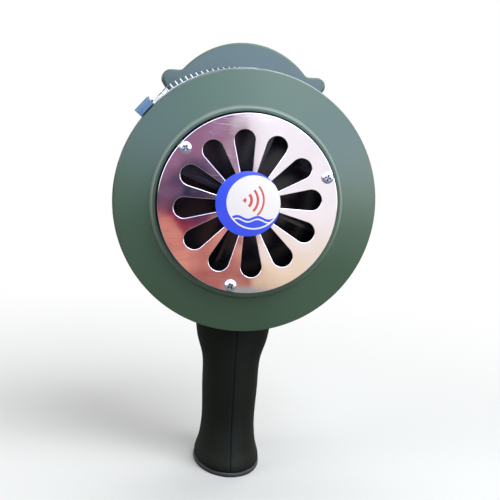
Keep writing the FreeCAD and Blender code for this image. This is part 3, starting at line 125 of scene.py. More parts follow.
def new_group(name, inputs, outputs):
    """An empty shader group, with its input and output nodes."""
    group = bpy.data.node_groups.new(name, "ShaderNodeTree")
    for label, default in inputs.items():
        kind = "NodeSocketVector" if label == "Vector" else "NodeSocketFloat"
        socket = group.interface.new_socket(label, in_out="INPUT", socket_type=kind)
        if label != "Vector":
            socket.default_value = default
    for label in outputs:
        group.interface.new_socket(label, in_out="OUTPUT", socket_type="NodeSocketFloat")
    return group, group.nodes.new("NodeGroupInput").outputs, group.nodes.new("NodeGroupOutput")


def make_grain_group():
    """Fine lumps in a sprayed, cast or moulded skin, and slow drifts of its shade."""
    group, given, result = new_group("skin_grain", {"Vector": None, "Fine": 700.0, "Slow": 22.0},
                                     ("Height", "Drift"))
    feed(result, Height=noise(group, given["Vector"], given["Fine"], 3.0),
         Drift=noise(group, given["Vector"], given["Slow"], 4.0))
    return group


def make_edge_group():
    """A mask of the sharp outer edges, where paint is thin and hands polish metal."""
    group, given, result = new_group("worn_edges", {"Vector": None, "Width": 0.001}, ("Mask",))
    soft = add_node(group, "ShaderNodeBevel", {"Radius": given["Width"]}, samples=6).outputs[0]
    hard = add_node(group, "ShaderNodeNewGeometry").outputs["Normal"]
    alike = add_node(group, "ShaderNodeVectorMath", {0: soft, 1: hard}, operation="DOT_PRODUCT")
    patches = ramp(group, noise(group, given["Vector"], 160.0), 0.35, 0.65)
    feed(result, Mask=times(group, ramp(group, alike.outputs["Value"], 0.995, 0.90), patches))
    return group


def make_dust_group():
    """A mask of the faces that look upwards, where dust settles unevenly."""
    group, given, result = new_group("settled_dust", {"Vector": None, "Amount": 0.3}, ("Mask",))
    facing = add_node(group, "ShaderNodeNewGeometry").outputs["Normal"]
    upward = ramp(group, axes(group, facing)["Z"], 0.35, 1.0)
    patches = ramp(group, noise(group, given["Vector"], 90.0, 5.0), 0.4, 0.75)
    feed(result, Mask=times(group, upward, patches, given["Amount"]))
    return group


SKIN_GRAIN = make_grain_group()
WORN_EDGES = make_edge_group()
SETTLED_DUST = make_dust_group()


def place_group(tree, group, vector, **sizes):
    """One use of a shared effect; its sizes are given by name."""
    node = add_node(tree, "ShaderNodeGroup", node_tree=group)
    feed(node, Vector=vector)
    for label, size in sizes.items():
        node.inputs[label].default_value = size
    return node.outputs


def new_finish(name, **constants):
    """A material with its surface shader and its place on the object."""
    material = bpy.data.materials.new(name)
    material.use_nodes = True
    tree = material.node_tree
    surface = tree.nodes["Principled BSDF"]
    for label, constant in constants.items():
        surface.inputs[label.replace("_", " ")].default_value = constant
    return material, tree, surface, object_place(tree)


def bump(surface, height, depth, strength):
    """Lay a height pattern over the surface's normal; the depth is that of a height of 1."""
    lift = add_node(surface.id_data, "ShaderNodeBump",
                    {"Height": height, "Distance": depth, "Strength": strength})
    for link in surface.inputs["Normal"].links:
        feed(lift, Normal=link.from_socket)
    feed(surface, Normal=lift.outputs["Normal"])


def tinted(colour, share, lift=0.0):
    """A lighter or darker form of a colour."""
    return (*[min(1, part * share + lift) for part in colour[:3]], 1)


def painted(name, colour, roughness, grain_depth, edge_share=0.35, dust=0.25, **constants):
    """A sprayed or moulded skin: grainy, a little uneven, paler at its edges and greyed by dust on upward
    faces.
    """
    material, tree, surface, where = new_finish(name, **constants)
    grain = place_group(tree, SKIN_GRAIN, where)
    edge_wear_and_lip_highlight = times(tree, place_group(tree, WORN_EDGES, where, Width=0.6 * MM)["Mask"], edge_share)
    # Mostly settled dust; where the amount is high, as on the dish, it also paints a highlight on upward
    # faces.
    dust_and_highlight = place_group(tree, SETTLED_DUST, where, Amount=dust)["Mask"]
    skin = blend_colours(tree, grain["Drift"], tinted(colour, 0.88), tinted(colour, 1.12, 0.002))
    skin = blend_colours(tree, edge_wear_and_lip_highlight, skin, tinted(colour, 1.6, 0.03))
    skin = blend_colours(tree, dust_and_highlight, skin, srgb(176, 178, 172))
    dull = ramp(tree, grain["Drift"], 0.3, 0.7, roughness - 0.05, roughness + 0.05)
    feed(surface, Base_Color=skin, Roughness=calc(tree, "ADD", dull, dust_and_highlight))
    bump(surface, grain["Height"], grain_depth, 0.6)
    return material


ENAMEL_GREEN = srgb(61, 89, 66)
ENAMEL = painted("green_enamel", ENAMEL_GREEN, 0.34, 0.05 * MM, 0.15)


def shaded(mesh, angle=32):
    """Smooth shading that keeps edges sharper than the angle."""
    mesh.shade_smooth()
    mesh.set_sharp_from_angle(angle=math.radians(angle))


def linked(name, data):
    """A new object in the scene."""
    piece = bpy.data.objects.new(name, data)
    bpy.context.scene.collection.objects.link(piece)
    return piece


def new_piece(name, shape, material, angle=32):
    """A new object from a bmesh, with its material; the bmesh goes away."""
    mesh = bpy.data.meshes.new(name)
    shape.to_mesh(mesh)
    shape.free()
    shaded(mesh, angle)
    mesh.materials.append(material)
    return linked(name, mesh)


def round_edges(piece, width, segments=2, angle=32):
    """Live rounding of every edge sharper than the angle."""
    rounding = piece.modifiers.new("rounded_edges", "BEVEL")
    rounding.width = width
    rounding.segments = segments
    rounding.limit_method = "ANGLE"
    rounding.angle_limit = math.radians(angle)
    rounding.harden_normals = True
    return rounding


def share_rounding(shape, width, angle=32):
    """Mark how much of a rounding each sharp edge takes: less where its neighbours are short."""
    shares = shape.edges.layers.float.new("bevel_weight_edge")
    for edge in shape.edges:
        if edge.calc_face_angle(0) > math.radians(angle):
            room = min(near.calc_length() for corner in edge.verts for near in corner.link_edges)
            edge[shares] = min(1.0, 0.4 * room / width)


def settled(name, source, material=None):
    """A plain mesh object with the source's modifiers applied; the source goes away."""
    source_view = source.evaluated_get(bpy.context.evaluated_depsgraph_get())
    mesh = bpy.data.meshes.new_from_object(source_view)
    mesh.name = name
    bpy.data.objects.remove(source)
    if material:
        mesh.materials.clear()
        mesh.materials.append(material)
    return linked(name, mesh)


def stand_in(piece, node):
    """The piece rides with a CAD node's body and is shown in its place, while the node is hidden."""
    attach(piece, BODY_OF[node])
    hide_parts(node)


def dressed(node, material, edge=0.5 * MM):
    """A copy of a node with merged facets and edges rounded as casting or machining leaves them."""
    source = frame["nodes"][node].data
    shape = bmesh.new()
    corners = [shape.verts.new(vertex.co) for vertex in source.vertices]
    shape.verts.ensure_lookup_table()
    for face in source.polygons:
        shape.faces.new([corners[index] for index in face.vertices])
    bmesh.ops.remove_doubles(shape, verts=shape.verts, dist=0.002 * MM)
    bmesh.ops.dissolve_limit(shape, angle_limit=math.radians(0.5), verts=shape.verts, edges=shape.edges)
    share_rounding(shape, edge)
    piece = new_piece(node + "_finished", shape, material)
    round_edges(piece, edge).limit_method = "WEIGHT"
    stand_in(piece, node)


def give_finish(material, *nodes):
    """A better material on CAD nodes whose shape stays as it is."""
    for node in nodes:
        for slot in frame["nodes"][node].material_slots:
            slot.material = material


dressed("stator_ring", ENAMEL, 0.6 * MM)
dressed("drum_back", ENAMEL, 0.5 * MM)

# ---------------- rotor and its bearings
# The rotor is one aluminium casting, painted black, and turned true on its shaft.
# Shaft, spacers and pinion are plain machined steel; the bearings are ground and bright.


def span(tree, aside, rise):
    """The distance of a point from a centre, from its two offsets."""
    return calc(tree, "SQRT", calc(tree, "ADD", times(tree, aside, aside), times(tree, rise, rise)))


def make_turning_group():
    """Fine rings that a lathe tool leaves round the axis."""
    group, given, result = new_group("turned_rings", {"Vector": None, "Rings": 1800.0}, ("Height",))
    parts = axes(group, given["Vector"])
    reach = span(group, parts["X"], parts["Z"])
    rings = add_node(group, "ShaderNodeTexNoise", {"W": reach, "Scale": given["Rings"], "Detail": 2.0},
                     noise_dimensions="1D")
    feed(result, Height=rings.outputs["Fac"])
    return group


TURNED_RINGS = make_turning_group()


def centred(tree, where, aside=0.0, rise=0.0):
    """Object coordinates measured from the rotor's axis, or from a line to the side of it and above."""
    place = (-aside, 0, -AXIS_HEIGHT - rise)
    return add_node(tree, "ShaderNodeMapping", {"Vector": where, "Location": place}).outputs["Vector"]


def bare_metal(name, colour, roughness, rings_depth=0.01 * MM):
    """Machined metal: turning rings, slight stains, brighter worn edges and painted shade darkening its
    hollows.
    """
    material, tree, surface, where = new_finish(name, Metallic=1.0)
    rings = place_group(tree, TURNED_RINGS, centred(tree, where))
    grain = place_group(tree, SKIN_GRAIN, where, Fine=1500.0, Slow=60.0)
    edges = place_group(tree, WORN_EDGES, where, Width=0.4 * MM)
    # Painted shade: ambient occlusion darkens the colour in recesses and corners, such as the screws' cross
    # recesses.
    hollow = add_node(tree, "ShaderNodeAmbientOcclusion", {"Distance": 1.6 * MM}, samples=8)
    skin = blend_colours(tree, grain["Drift"], tinted(colour, 0.8), colour)
    skin = blend_colours(tree, edges["Mask"], skin, tinted(colour, 1.25))
    unshaded_share = ramp(tree, hollow.outputs["AO"], 0.3, 0.85)
    dull = ramp(tree, grain["Drift"], 0.3, 0.7, roughness + 0.08, roughness - 0.04)
    feed(surface, Base_Color=blend_colours(tree, unshaded_share, srgb(34, 48, 62), skin), Roughness=dull)
    bump(surface, rings["Height"], rings_depth, 0.5)
    return material


ROTOR_PAINT = painted("black_rotor_paint", srgb(17, 16, 22), 0.2, 0.03 * MM, 0.3, 0.05,
                      Specular_IOR_Level=0.5)
STEEL = bare_metal("machined_steel", srgb(178, 178, 180), 0.30)
BEARING_STEEL = bare_metal("bearing_steel", srgb(205, 206, 210), 0.12, 0.003 * MM)
give_finish(ROTOR_PAINT, "rotor")
give_finish(STEEL, "rotor_shaft", "front_spacer", "rear_spacer", "rotor_pinion")
give_finish(BEARING_STEEL, *[side + part for side in ("front_bearing", "rear_bearing")
                             for part in ("_outer", "_inner", "_balls")])

# ---------------- front dish
# A shallow cast cone with a turned lip round its mouth and a skirt that slips over the drum.
# Three small bosses inside the mouth carry the intake plate, each tied to the wall by a web.

PLATE_TURN = 6
PLATE_SCREW_TURN = PLATE_TURN + 15
PLATE_SCREW_REACH = 48.8 * MM
WEB_SIZE = Vector((2.0, 10.0, 4.4)) * MM
WEB_SPOT = Vector((52.4, -36.0, 0)) * MM


def rounded_outline(corners, arc_steps=5):
    """Points of a closed outline; each corner is (radius, depth, rounding) in metres."""
    points = []
    for index, (radius, depth, rounding) in enumerate(corners):
        corner = Vector((radius, depth))
        if rounding == 0:
            points.append(corner)
            continue
        before = (Vector(corners[index - 1][:2]) - corner).normalized()
        after = (Vector(corners[(index + 1) % len(corners)][:2]) - corner).normalized()
        half = before.angle(after) / 2
        centre = corner + (before + after).normalized() * rounding / math.sin(half)
        start = corner + before * rounding / math.tan(half) - centre
        end = corner + after * rounding / math.tan(half) - centre
        points += [centre + start.slerp(end, step / arc_steps) * rounding for step in range(arc_steps + 1)]
    return points


def bridge(shape, rings, next_rings, steps):
    """Faces between neighbouring closed rings; where two corners are one, the face loses a side."""
    faces = []
    for near, far in zip(rings, next_rings):
        for step in range(steps):
            after = (step + 1) % steps
            corners = list(dict.fromkeys((near[step], near[after], far[after], far[step])))
            if len(corners) > 2:
                faces.append(shape.faces.new(corners))
    return faces


def turn_outline(shape, corners, x=0.0, height=AXIS_HEIGHT, steps=224):
    """Add a turned solid about an axis along Y to a bmesh; corners are in millimetres."""
    outline = rounded_outline([tuple(size * MM for size in corner) for corner in corners])
    angles = [2 * math.pi * step / steps for step in range(steps)]
    rings = []
    for radius, depth in outline:
        if radius < 1e-7:
            rings.append([shape.verts.new((x, depth, height))] * steps)
            continue
        rings.append([
            shape.verts.new((x + radius * math.cos(angle), depth, height + radius * math.sin(angle)))
            for angle in angles])
    bmesh.ops.recalc_face_normals(shape, faces=bridge(shape, rings, rings[1:] + rings[:1], steps))


def make_dish_enamel():
    """The enamel over a turned cone: tool rings show faintly, a paler ring on the lip's upper half is a
    painted highlight, and heavy dust on upward faces is partly painted highlight too.
    """
    # Dust of 0.8 pales upward faces, partly as real dust and partly as a painted highlight on the lip's upper
    # slope.
    material = painted("dish_enamel", ENAMEL_GREEN, 0.39, 0.05 * MM, 0.15, 0.8)
    tree = material.node_tree
    surface = tree.nodes["Principled BSDF"]
    enamel = surface.inputs["Base Color"].links[0].from_socket
    where = centred(tree, object_place(tree))
    rings = place_group(tree, TURNED_RINGS, where, Rings=420.0)
    parts = axes(tree, where)
    reach = span(tree, parts["X"], parts["Z"])
    # Painted highlight: the lip's outer slope turns pale green, fading out towards its lower half.
    edge_wear_and_lip_highlight = times(tree, *[
        ramp(tree, value, start * MM, end * MM)
        for value, start, end in ((reach, 55.0, 55.5), (reach, 57.1, 56.7), (parts["Z"], -52, -5))])
    feed(surface, Base_Color=blend_colours(tree, edge_wear_and_lip_highlight, enamel, srgb(124, 140, 130)))
    bump(surface, rings["Height"], 0.03 * MM, 0.6)
    return material


def round_axis(reach, angle, depth, height=AXIS_HEIGHT):
    """A point at a reach and an angle in degrees about an axis along Y."""
    heading = math.radians(angle)
    return reach * math.cos(heading), depth, height + reach * math.sin(heading)


dish_shape = bmesh.new()
turn_outline(dish_shape, [
    (53.2, -42.5, 0.6), (56.0, -42.5, 1.7), (57, -39.5, 0.3), (78, -35, 0.9), (78, -17, 0.5),
    (75.15, -17, 0.2), (75.15, -31.2, 0), (69.8, -31.2, 0), (69.8, -33.6, 0.6), (56.2, -36.4, 1.2),
    (56.2, -30.5, 0.6), (53.2, -30.5, 0.6),
], steps=320)
for turn in (0, 120, 240):
    angle = PLATE_SCREW_TURN + turn
    boss_x, _, boss_height = round_axis(PLATE_SCREW_REACH, angle, 0)
    turn_outline(dish_shape, [(1.55, -45.8, 0.1), (3.4, -45.8, 0.3), (3.4, -30.6, 0.3), (1.55, -30.6, 0)],
                 boss_x, boss_height, 40)
    web = bmesh.ops.create_cube(dish_shape, size=1.0)["verts"]
    bmesh.ops.scale(dish_shape, vec=WEB_SIZE, verts=web)
    bmesh.ops.translate(dish_shape, vec=WEB_SPOT, verts=web)
    bmesh.ops.rotate(dish_shape, matrix=Matrix.Rotation(math.radians(-angle), 3, "Y"), verts=web)
    bmesh.ops.translate(dish_shape, vec=(0, 0, AXIS_HEIGHT), verts=web)
stand_in(new_piece("cast_dish", dish_shape, make_dish_enamel()), "front_dish")

# ---------------- intake plate
# A disc of thin stainless sheet, punched with a ring of petal slots and polished like a mirror.
# The punch leaves a slightly rounded edge round each petal, which catches the light.

PETAL_COUNT = 12
PETAL_END_RADIUS = 6.1 * MM
PETAL_END_REACH = 37.1 * MM
PETAL_FOOT_REACH = 17.8 * MM
PETAL_FOOT_HALF = 3.4 * MM
plate_low, plate_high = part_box("intake_plate")


def new_tree(name, sizes):
    """A Geometry Nodes tree with one named input for each size."""
    tree = bpy.data.node_groups.new(name, "GeometryNodeTree")
    tree.interface.new_socket("Geometry", in_out="INPUT", socket_type="NodeSocketGeometry")
    for label, size in sizes.items():
        kind = "NodeSocketInt" if isinstance(size, int) else "NodeSocketFloat"
        tree.interface.new_socket(label, in_out="INPUT", socket_type=kind)
    tree.interface.new_socket("Geometry", in_out="OUTPUT", socket_type="NodeSocketGeometry")
    return tree, tree.nodes.new("NodeGroupInput").outputs


def run_tree(piece, tree, sizes):
    """Put a tree on a piece and set its inputs by their identifiers."""
    grown = piece.modifiers.new(tree.name, "NODES")
    grown.node_group = tree
    for socket in tree.interface.items_tree:
        if socket.in_out == "INPUT" and socket.name in sizes:
            grown[socket.identifier] = sizes[socket.name]


def grow(tree, kind, inputs=None, **settings):
    """One Geometry Nodes step's result."""
    return add_node(tree, "GeometryNode" + kind, inputs, **settings).outputs[0]


def point(tree, **parts):
    """A vector from its X, Y and Z; those left out are 0."""
    return add_node(tree, "ShaderNodeCombineXYZ", parts).outputs[0]


def joined(tree, *parts):
    """Several geometries as one."""
    join = tree.nodes.new("GeometryNodeJoinGeometry")
    for part in parts:
        tree.links.new(part, join.inputs[0])
    return join.outputs[0]


def end_tree(tree, geometry, material):
    """Close a tree: real geometry with its material."""
    real = grow(tree, "RealizeInstances", {0: geometry})
    coated = grow(tree, "SetMaterial", {0: real, "Material": material})
    feed(tree.nodes.new("NodeGroupOutput"), Geometry=coated)


def repeated_round(tree, curve, count, first_turn):
    """A curve repeated evenly round the tree's origin, starting at an angle in radians."""
    step = calc(tree, "DIVIDE", 2 * math.pi, count)
    angle = calc(tree, "MULTIPLY_ADD", grow(tree, "InputIndex"), step, first_turn)
    spots = grow(tree, "Points", {"Count": count})
    turn = point(tree, Z=angle)
    copies = grow(tree, "InstanceOnPoints", {"Points": spots, "Instance": curve, "Rotation": turn})
    return grow(tree, "RealizeInstances", {0: copies})


def petal_outline(name):
    """One petal slot along +X as a closed line: a round end and straight sides that narrow inwards."""
    run = PETAL_END_REACH - PETAL_FOOT_REACH
    lean = math.asin(PETAL_END_RADIUS / math.hypot(run, PETAL_FOOT_HALF)) - math.atan2(PETAL_FOOT_HALF, run)
    swing = math.pi / 2 + lean
    arc_steps = 30
    angles = [swing * (2 * step / arc_steps - 1) for step in range(arc_steps + 1)]
    points = [(PETAL_END_REACH + PETAL_END_RADIUS * math.cos(angle), PETAL_END_RADIUS * math.sin(angle), 0)
              for angle in angles]
    points += [(PETAL_FOOT_REACH, PETAL_FOOT_HALF, 0), (PETAL_FOOT_REACH, -PETAL_FOOT_HALF, 0)]
    mesh = bpy.data.meshes.new(name)
    mesh.from_pydata(points, [(step, (step + 1) % len(points)) for step in range(len(points))], [])
    return linked(name, mesh)


def plate_tree(sizes, material):
    """The punched disc, drawn flat, given its thickness and stood upright."""
    tree, size = new_tree("punched_plate", sizes)
    rim = grow(tree, "CurvePrimitiveCircle", {"Resolution": 288, "Radius": size["Plate radius"]})
    petal = grow(tree, "MeshToCurve", {0: size["Geometry"]})
    hole = grow(tree, "CurvePrimitiveCircle", {"Resolution": 24, "Radius": size["Hole radius"]})
    hole = grow(tree, "Transform", {0: hole, "Translation": point(tree, X=size["Hole reach"])})
    outlines = joined(tree, rim, repeated_round(tree, petal, size["Petals"], size["Petal turn"]),
                      repeated_round(tree, hole, size["Holes"], size["Hole turn"]))
    sheet = grow(tree, "FillCurve", {0: outlines}, mode="NGONS")
    raised = grow(tree, "ExtrudeMesh",
                  {"Mesh": sheet, "Offset Scale": size["Thickness"], "Individual": False})
    both = joined(tree, raised, grow(tree, "FlipFaces", {0: sheet}))
    closed = grow(tree, "MergeByDistance", {0: both, "Distance": 0.001 * MM})
    spot = point(tree, Y=size["Back depth"], Z=size["Height"])
    upright = grow(tree, "Transform", {0: closed, "Translation": spot, "Rotation": (math.pi / 2, 0, 0)})
    end_tree(tree, upright, material)
    return tree


def make_mirror_finish():
    """Polished stainless sheet: a faintly wavy mirror with hairline scratches and a film of dust."""
    material, tree, surface, where = new_finish("mirror_stainless", Metallic=1.0)
    plane = centred(tree, where)
    streaks = add_node(tree, "ShaderNodeMapping", {
        "Vector": plane, "Rotation": (0, 0.5, 0), "Scale": (60.0, 60.0, 5200.0)})
    scratches = ramp(tree, noise(tree, streaks.outputs[0], 1.0), 0.62, 0.74)
    cloud = noise(tree, plane, 55.0, 5.0)
    haze = ramp(tree, cloud, 0.35, 0.7, 0.05, 0.11)
    feed(surface, Base_Color=blend_colours(tree, cloud, srgb(226, 222, 228), srgb(243, 240, 241)),
         Roughness=calc(tree, "ADD", haze, times(tree, scratches, 0.12)))
    height = calc(tree, "ADD", noise(tree, plane, 34.0, 1.0), times(tree, scratches, -0.004))
    bump(surface, height, 1.2 * MM, 0.35)
    return material


MIRROR = make_mirror_finish()
plate_sizes = {
    "Petals": PETAL_COUNT, "Petal turn": math.radians(PLATE_TURN),
    "Holes": 3, "Hole turn": math.radians(PLATE_SCREW_TURN), "Hole reach": PLATE_SCREW_REACH,
    "Hole radius": 1.6 * MM, "Plate radius": 52.5 * MM, "Thickness": plate_high.y - plate_low.y,
    "Back depth": plate_high.y, "Height": AXIS_HEIGHT,
}
plate_seed = petal_outline("plate_outline")
run_tree(plate_seed, plate_tree(plate_sizes, MIRROR), plate_sizes)
round_edges(plate_seed, 0.32 * MM, 3, 40)
stand_in(settled("punched_plate", plate_seed), "intake_plate")

# ---------------- label
# A round film label stuck over the middle of the plate, printed blue round an off-centre white field.
# On the field is a plain sign: sound arcs in red over blue waves.


def make_label_finish():
    """Glossy film whose print is drawn from distances and angles about the white field's centre."""
    material, tree, surface, where = new_finish("printed_film", Roughness=0.28, Coat_Weight=0.5,
                                                Coat_Roughness=0.08)
    parts = axes(tree, centred(tree, where, 3.2 * MM, 1.0 * MM))
    reach = span(tree, parts["X"], parts["Z"])

    def band(inner, outer, distance=reach):
        """1 between two distances, in millimetres."""
        return times(tree, calc(tree, "GREATER_THAN", distance, inner * MM),
                     calc(tree, "LESS_THAN", distance, outer * MM))

    aside = calc(tree, "ADD", parts["X"], 6.5 * MM)
    rise = calc(tree, "SUBTRACT", parts["Z"], 1.0 * MM)
    from_source = span(tree, aside, rise)
    sideways = calc(tree, "ABSOLUTE", calc(tree, "ARCTAN2", rise, aside))
    ahead = calc(tree, "LESS_THAN", sideways, 0.75)
    swell = times(tree, calc(tree, "SINE", times(tree, parts["X"], 520.0)), 0.9 * MM)
    depth = calc(tree, "SUBTRACT", calc(tree, "SUBTRACT", swell, parts["Z"]), 8.6 * MM)
    blue, white, red = srgb(34, 76, 246), srgb(249, 248, 251), srgb(214, 72, 50)
    skin = blend_colours(tree, band(-1.0, 15.8), blue, white)
    for inner, outer in ((-1.0, 2.2), (4.4, 6.0), (8.2, 9.6), (11.8, 12.9)):
        skin = blend_colours(tree, times(tree, band(inner, outer, from_source), ahead), skin, red)
    for near, far in ((0, 1.5), (2.4, 9)):
        skin = blend_colours(tree, times(tree, band(-1.0, 14.9), band(near, far, depth)), skin, blue)
    feed(surface, Base_Color=blend_colours(tree, 0.03, skin, srgb(160, 160, 160)))
    bump(surface, place_group(tree, SKIN_GRAIN, where, Fine=260.0)["Height"], 0.05 * MM, 0.3)
    return material


label_shape = bmesh.new()
turn_outline(label_shape, [(0, -47.42, 0), (18.95, -47.42, 0.12), (18.95, -47.01, 0), (0, -47.01, 0)],
             steps=160)
stand_in(new_piece("film_label", label_shape, make_label_finish()), "label_disc")

# ---------------- screws
# Pan-head screws with a cross recess, headed from steel wire and zinc plated, as are the rotor's nut
# and washer. One head shape serves every place; a set grows from the points where its screws seat.

ZINC = bare_metal("zinc_plate", srgb(204, 212, 220), 0.24, 0.004 * MM)
SHANK_RADIUS = 1.5
RECESS_DEPTH = 1.35 * MM
give_finish(ZINC, "rotor_nut", "rotor_washer")


def carved(name, piece, cutters, angle=32):
    """A plain mesh object of the piece without the cutters' shapes; piece and cutters go away."""
    for cutter in cutters:
        cut = piece.modifiers.new(cutter.name, "BOOLEAN")
        cut.object = cutter
        cut.solver = "EXACT"
    result = settled(name, piece, piece.data.materials[0])
    for cutter in cutters:
        bpy.data.objects.remove(cutter)
    shaded(result.data, angle)
    return result


def cross_cutter(name, turn, length, crown):
    """One bar of the cross recess, narrower at its floor, standing on the head's crown."""
    shape = bmesh.new()
    bar = bmesh.ops.create_cube(shape, size=1.0)["verts"]
    for vertex in bar:
        floor = vertex.co.y > 0
        half_length = (0.32 if floor else 0.5) * length
        half_width = (0.30 if floor else 0.5) * 1.3 * MM
        vertex.co = Vector((math.copysign(half_length, vertex.co.x), vertex.co.y * RECESS_DEPTH * 2,
                            math.copysign(half_width, vertex.co.z)))
    bmesh.ops.rotate(shape, cent=(0, 0, 0), matrix=Matrix.Rotation(turn, 3, "Y"), verts=bar)
    cutter = new_piece(name, shape, ZINC)
    cutter.data.transform(Matrix.Translation((0, crown, 0)))
    return cutter


def screw_template(name, radius, height, shank_length):
    """A screw along +Y whose head stands from the origin towards -Y; sizes in millimetres."""
    shape = bmesh.new()
    turn_outline(shape, [
        (0, -height, 0), (radius * 0.55, -height, radius * 0.35),
        (radius * 0.93, -height * 0.62, radius * 0.2), (radius, -height * 0.2, 0.2), (radius, 0, 0.1),
        (SHANK_RADIUS, 0, 0), (SHANK_RADIUS, shank_length - 0.6, 0),
        (SHANK_RADIUS - 0.5, shank_length, 0), (0, shank_length, 0),
    ], 0, 0, 40)
    cutters = [cross_cutter(name + "_cutter", turn, radius * 1.3 * MM, -height * MM)
               for turn in (0, math.pi / 2)]
    return carved(name, new_piece(name + "_blank", shape, ZINC), cutters)


def screw_tree(template):
    """Copies of the template on points; each point holds the turn of its cross."""
    tree, size = new_tree("set_of_" + template.name, {"Facing": 0.0})
    copied = add_node(tree, "GeometryNodeObjectInfo", {"Object": template, "As Instance": True})
    turn = grow(tree, "InputNamedAttribute", {"Name": "turn"}, data_type="FLOAT")
    copies = grow(tree, "InstanceOnPoints", {
        "Points": grow(tree, "MeshToPoints", {0: size["Geometry"]}), "Instance": copied.outputs["Geometry"],
        "Rotation": point(tree, Y=turn, Z=size["Facing"])})
    end_tree(tree, copies, ZINC)
    return tree


def screw_set(node, radius, height, shank_length, seats, facing=0.0):
    """One node's screws; each seat is the middle of the face under a head and the turn of its cross."""
    name = node[:-1]
    template = screw_template(name, radius, height, shank_length)
    mesh = bpy.data.meshes.new(name + "_seats")
    mesh.from_pydata([seat for seat, turn in seats], [], [])
    turns = mesh.attributes.new("turn", "FLOAT", "POINT")
    turns.data.foreach_set("value", [math.radians(turn) for seat, turn in seats])
    seed = linked(name + "_seats", mesh)
    run_tree(seed, screw_tree(template), {"Facing": facing})
    screws = settled(name + "_set", seed)
    shaded(screws.data)
    bpy.data.objects.remove(template)
    stand_in(screws, node)


TIE_REACH = 72.65 * MM
screw_set("plate_screws", 3.6, 2.2, 9.8, [
    (round_axis(PLATE_SCREW_REACH, PLATE_SCREW_TURN + turn, plate_low.y), cross)
    for turn, cross in ((0, 12), (120, 35), (240, 60))])
screw_set("tie_screws", 2.8, 2.0, 12, [
    (round_axis(TIE_REACH, angle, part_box("drum_back")[1].y), angle * 1.7) for angle in (38, 142, 218, 322)],
    math.pi)

# ---------------- band clamp
# A worm-drive band of stainless strip pulls the dish's skirt onto the drum.
# Its slotted tail lifts away from the band and leans outwards before it enters the housing.

BAND_RADIUS = 78.55 * MM
BAND_THICKNESS = 0.5 * MM
band_low, band_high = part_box("clamp_band")
CELLS_PER_PITCH = 8
CELLS_ACROSS = 30
FIRST_SLOT_CELL, LAST_SLOT_CELL = 3, 28
DULL_STEEL = srgb(138, 146, 130)
STAINLESS = bare_metal("stainless_band", DULL_STEEL, 0.26, 0.006 * MM)


def tail_tree(sizes, material):
    """The slotted strip: a flat grid loses its slots, then is wrapped round the drum and lifted."""
    tree, size = new_tree("slotted_tail", sizes)
    flat = grow(tree, "MeshGrid", {
        "Size X": 1.0, "Size Y": 1.0, "Vertices Y": CELLS_ACROSS + 1,
        "Vertices X": calc(tree, "MULTIPLY_ADD", size["Pitches"], CELLS_PER_PITCH, 1)})
    parts = axes(tree, grow(tree, "InputPosition"))
    along, across = [calc(tree, "ADD", parts[axis], 0.5) for axis in ("X", "Y")]
    pitch_share = calc(tree, "FRACT", times(tree, along, size["Pitches"]))
    edge_share = 1 / CELLS_PER_PITCH
    slotted = times(tree, *[calc(tree, test, value, limit) for test, value, limit in (
        ("GREATER_THAN", pitch_share, edge_share), ("LESS_THAN", pitch_share, 1 - edge_share),
        ("GREATER_THAN", across, FIRST_SLOT_CELL / CELLS_ACROSS),
        ("LESS_THAN", across, LAST_SLOT_CELL / CELLS_ACROSS),
        ("LESS_THAN", along, size["Slotted share"]), ("GREATER_THAN", along, size["Plain share"]))])
    strip = grow(tree, "DeleteGeometry", {0: flat, "Selection": slotted}, domain="FACE")
    rise = times(tree, along, size["Climb"])
    settle = times(tree, calc(tree, "SUBTRACT", size["Dip end"], along), size["Dip"])
    lift = calc(tree, "SMOOTH_MIN", rise, settle, 0.5 * MM)
    front_share = size["Front share"]
    lean = calc(tree, "MULTIPLY_ADD", across, calc(tree, "SUBTRACT", 1.0, front_share), front_share)
    radius = calc(tree, "MULTIPLY_ADD", lift, lean, size["Radius"])
    angle = calc(tree, "MULTIPLY_ADD", along, size["Sweep"], size["Start"])
    wrapped = point(tree, X=times(tree, radius, calc(tree, "COSINE", angle)),
                    Y=calc(tree, "MULTIPLY_ADD", across, size["Width"], size["Front"]),
                    Z=calc(tree, "MULTIPLY_ADD", radius, calc(tree, "SINE", angle), size["Height"]))
    bent = grow(tree, "SetPosition", {0: strip, "Position": wrapped})
    end_tree(tree, grow(tree, "FlipFaces", {0: bent}), material)
    return tree


def make_strip_finish():
    """Stainless strip: duller at its plain end and the front edge near it; its rear edge carries a painted
    reflection of the dim green case.
    """
    material = bare_metal("slotted_strip", srgb(214, 222, 230), 0.22, 0.006 * MM)
    tree = material.node_tree
    surface = tree.nodes["Principled BSDF"]
    parts = axes(tree, object_place(tree))
    # Painted reflection: the strip's rear edge is coloured the dim green-grey of the case it mirrors.
    rear = ramp(tree, parts["Y"], band_high.y - 1.1 * MM, band_high.y - 0.8 * MM)
    front = ramp(tree, parts["Y"], band_low.y + 1.2 * MM, band_low.y + 1.0 * MM)
    early = ramp(tree, parts["X"], -40 * MM, -24 * MM)
    plain = ramp(tree, parts["X"], -4.5 * MM, -3 * MM)
    dull = calc(tree, "MAXIMUM", times(tree, front, early), plain)
    skin = blend_colours(tree, dull, surface.inputs["Base Color"].links[0].from_socket, DULL_STEEL)
    feed(surface, Base_Color=blend_colours(tree, rear, skin, srgb(58, 78, 78)))
    return material


